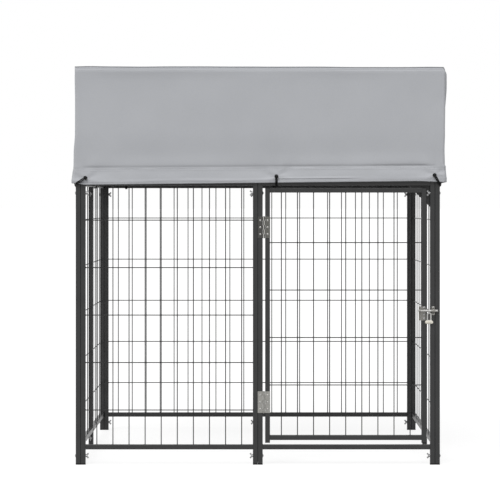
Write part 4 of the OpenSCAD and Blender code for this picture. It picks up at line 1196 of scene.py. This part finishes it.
gate_welds = Builder()
gate_place = (GATE_X, -WALL_Y)
placed(gate_welds, frame_welds(GATE_W, GATE_RAIL_Z, GATE_TOP), gate_place, False)
placed(gate_welds, wire_welds(GATE_W, GATE_RAIL_Z, GATE_TOP, WIRE_PITCH), gate_place, False)
make_piece("gate_welds", gate_welds.points, gate_welds.faces, tube_coat, "gate")


# Coats of the bolted uprights, where they touch

FILM_HEIGHTS = np.linspace(LEG_H - 40.0, PANEL_H - 4.0, 28)
FILM_DEPTH = 4.6
FILM_WAVES = (0.9, 1.7)


def contact_film(builder, middle, turned):
    """Thin film in the joint between two uprights, with a wavy edge, across X or turned across Y."""
    half_gap = JOINT_GAP / 2
    size, rate = FILM_WAVES
    points = []
    for i, z in enumerate(FILM_HEIGHTS):
        depth = FILM_DEPTH + size * math.sin(rate * i)
        for u, v in ((-half_gap, -depth), (half_gap, -depth), (half_gap, depth), (-half_gap, depth)):
            points.append((middle[0] + (-v if turned else u), middle[1] + (u if turned else v), z))
    builder.add(points, tube_faces(len(FILM_HEIGHTS), 4))


films = Builder()
for end in (-1.0, 1.0):
    contact_film(films, (0.0, end * WALL_Y), False)
    contact_film(films, (end * SIDE_X, 0.0), True)
    for flank in (-1.0, 1.0):
        contact_film(films, (flank * (HALF_W + JOINT_GAP / 2), end * WALL_Y), False)
make_piece("joint_films", films.points, films.faces, tube_coat, "frame", smooth=False)


# Web of the pull

EYE_X = 563.15
ROD_Y = -590.75
SLOT_R = 3.35
# Heights of the middles of the slot's upper and lower end
SLOT_ENDS = (493.6, 479.25)
WEB_STEPS = 10
# Rings of the web: growth past the slot's edge, distance behind the rod's middle
WEB_SHAPE = ((0.05, 0.9), (0.05, 0.2), (-0.9, 0.45), (-2.2, 0.6))


def build_pull_web():
    """Sunk web that closes the slot of the pressed pull; its dark zinc is painted shade in the recess."""
    outline = []
    for half, z in enumerate(SLOT_ENDS):
        outline.extend((z, math.pi * (half + k / WEB_STEPS)) for k in range(WEB_STEPS + 1))
    points = []
    for grow, back in WEB_SHAPE:
        r = SLOT_R + grow
        points.extend((EYE_X + r * math.cos(turn), ROD_Y + back, z + r * math.sin(turn)) for z, turn in outline)
    faces = tube_faces(len(WEB_SHAPE), len(outline))
    make_piece("pull_web", points, faces, shaded_zinc, "bolt_pull")


build_pull_web()


# Floor

FLOOR_REACH = 400.0
FLOOR_COLOUR = 0.18
FLOOR_GLOW = 0.83
floor_mesh = bpy.data.meshes.new("floor")
floor_corners = [(x * FLOOR_REACH, y * FLOOR_REACH, 0) for x, y in ((-1, -1), (1, -1), (1, 1), (-1, 1))]
floor_mesh.from_pydata(floor_corners, [], [(0, 1, 2, 3)])
floor_shader = Shader("floor", (FLOOR_COLOUR,) * 3, roughness=0.95, shine=0.0)
floor_shader.set("Emission Color", WHITE)
glow = floor_shader.node("ShaderNodeMath", operation="MULTIPLY")
glow.inputs[1].default_value = FLOOR_GLOW
floor_shader.tree.links.new(seen_directly(floor_shader.tree), glow.inputs[0])
floor_shader.link(glow, 0, floor_shader.bsdf, "Emission Strength")
floor_mesh.materials.append(floor_shader.material)
floor = bpy.data.objects.new("floor", floor_mesh)
scene.collection.objects.link(floor)
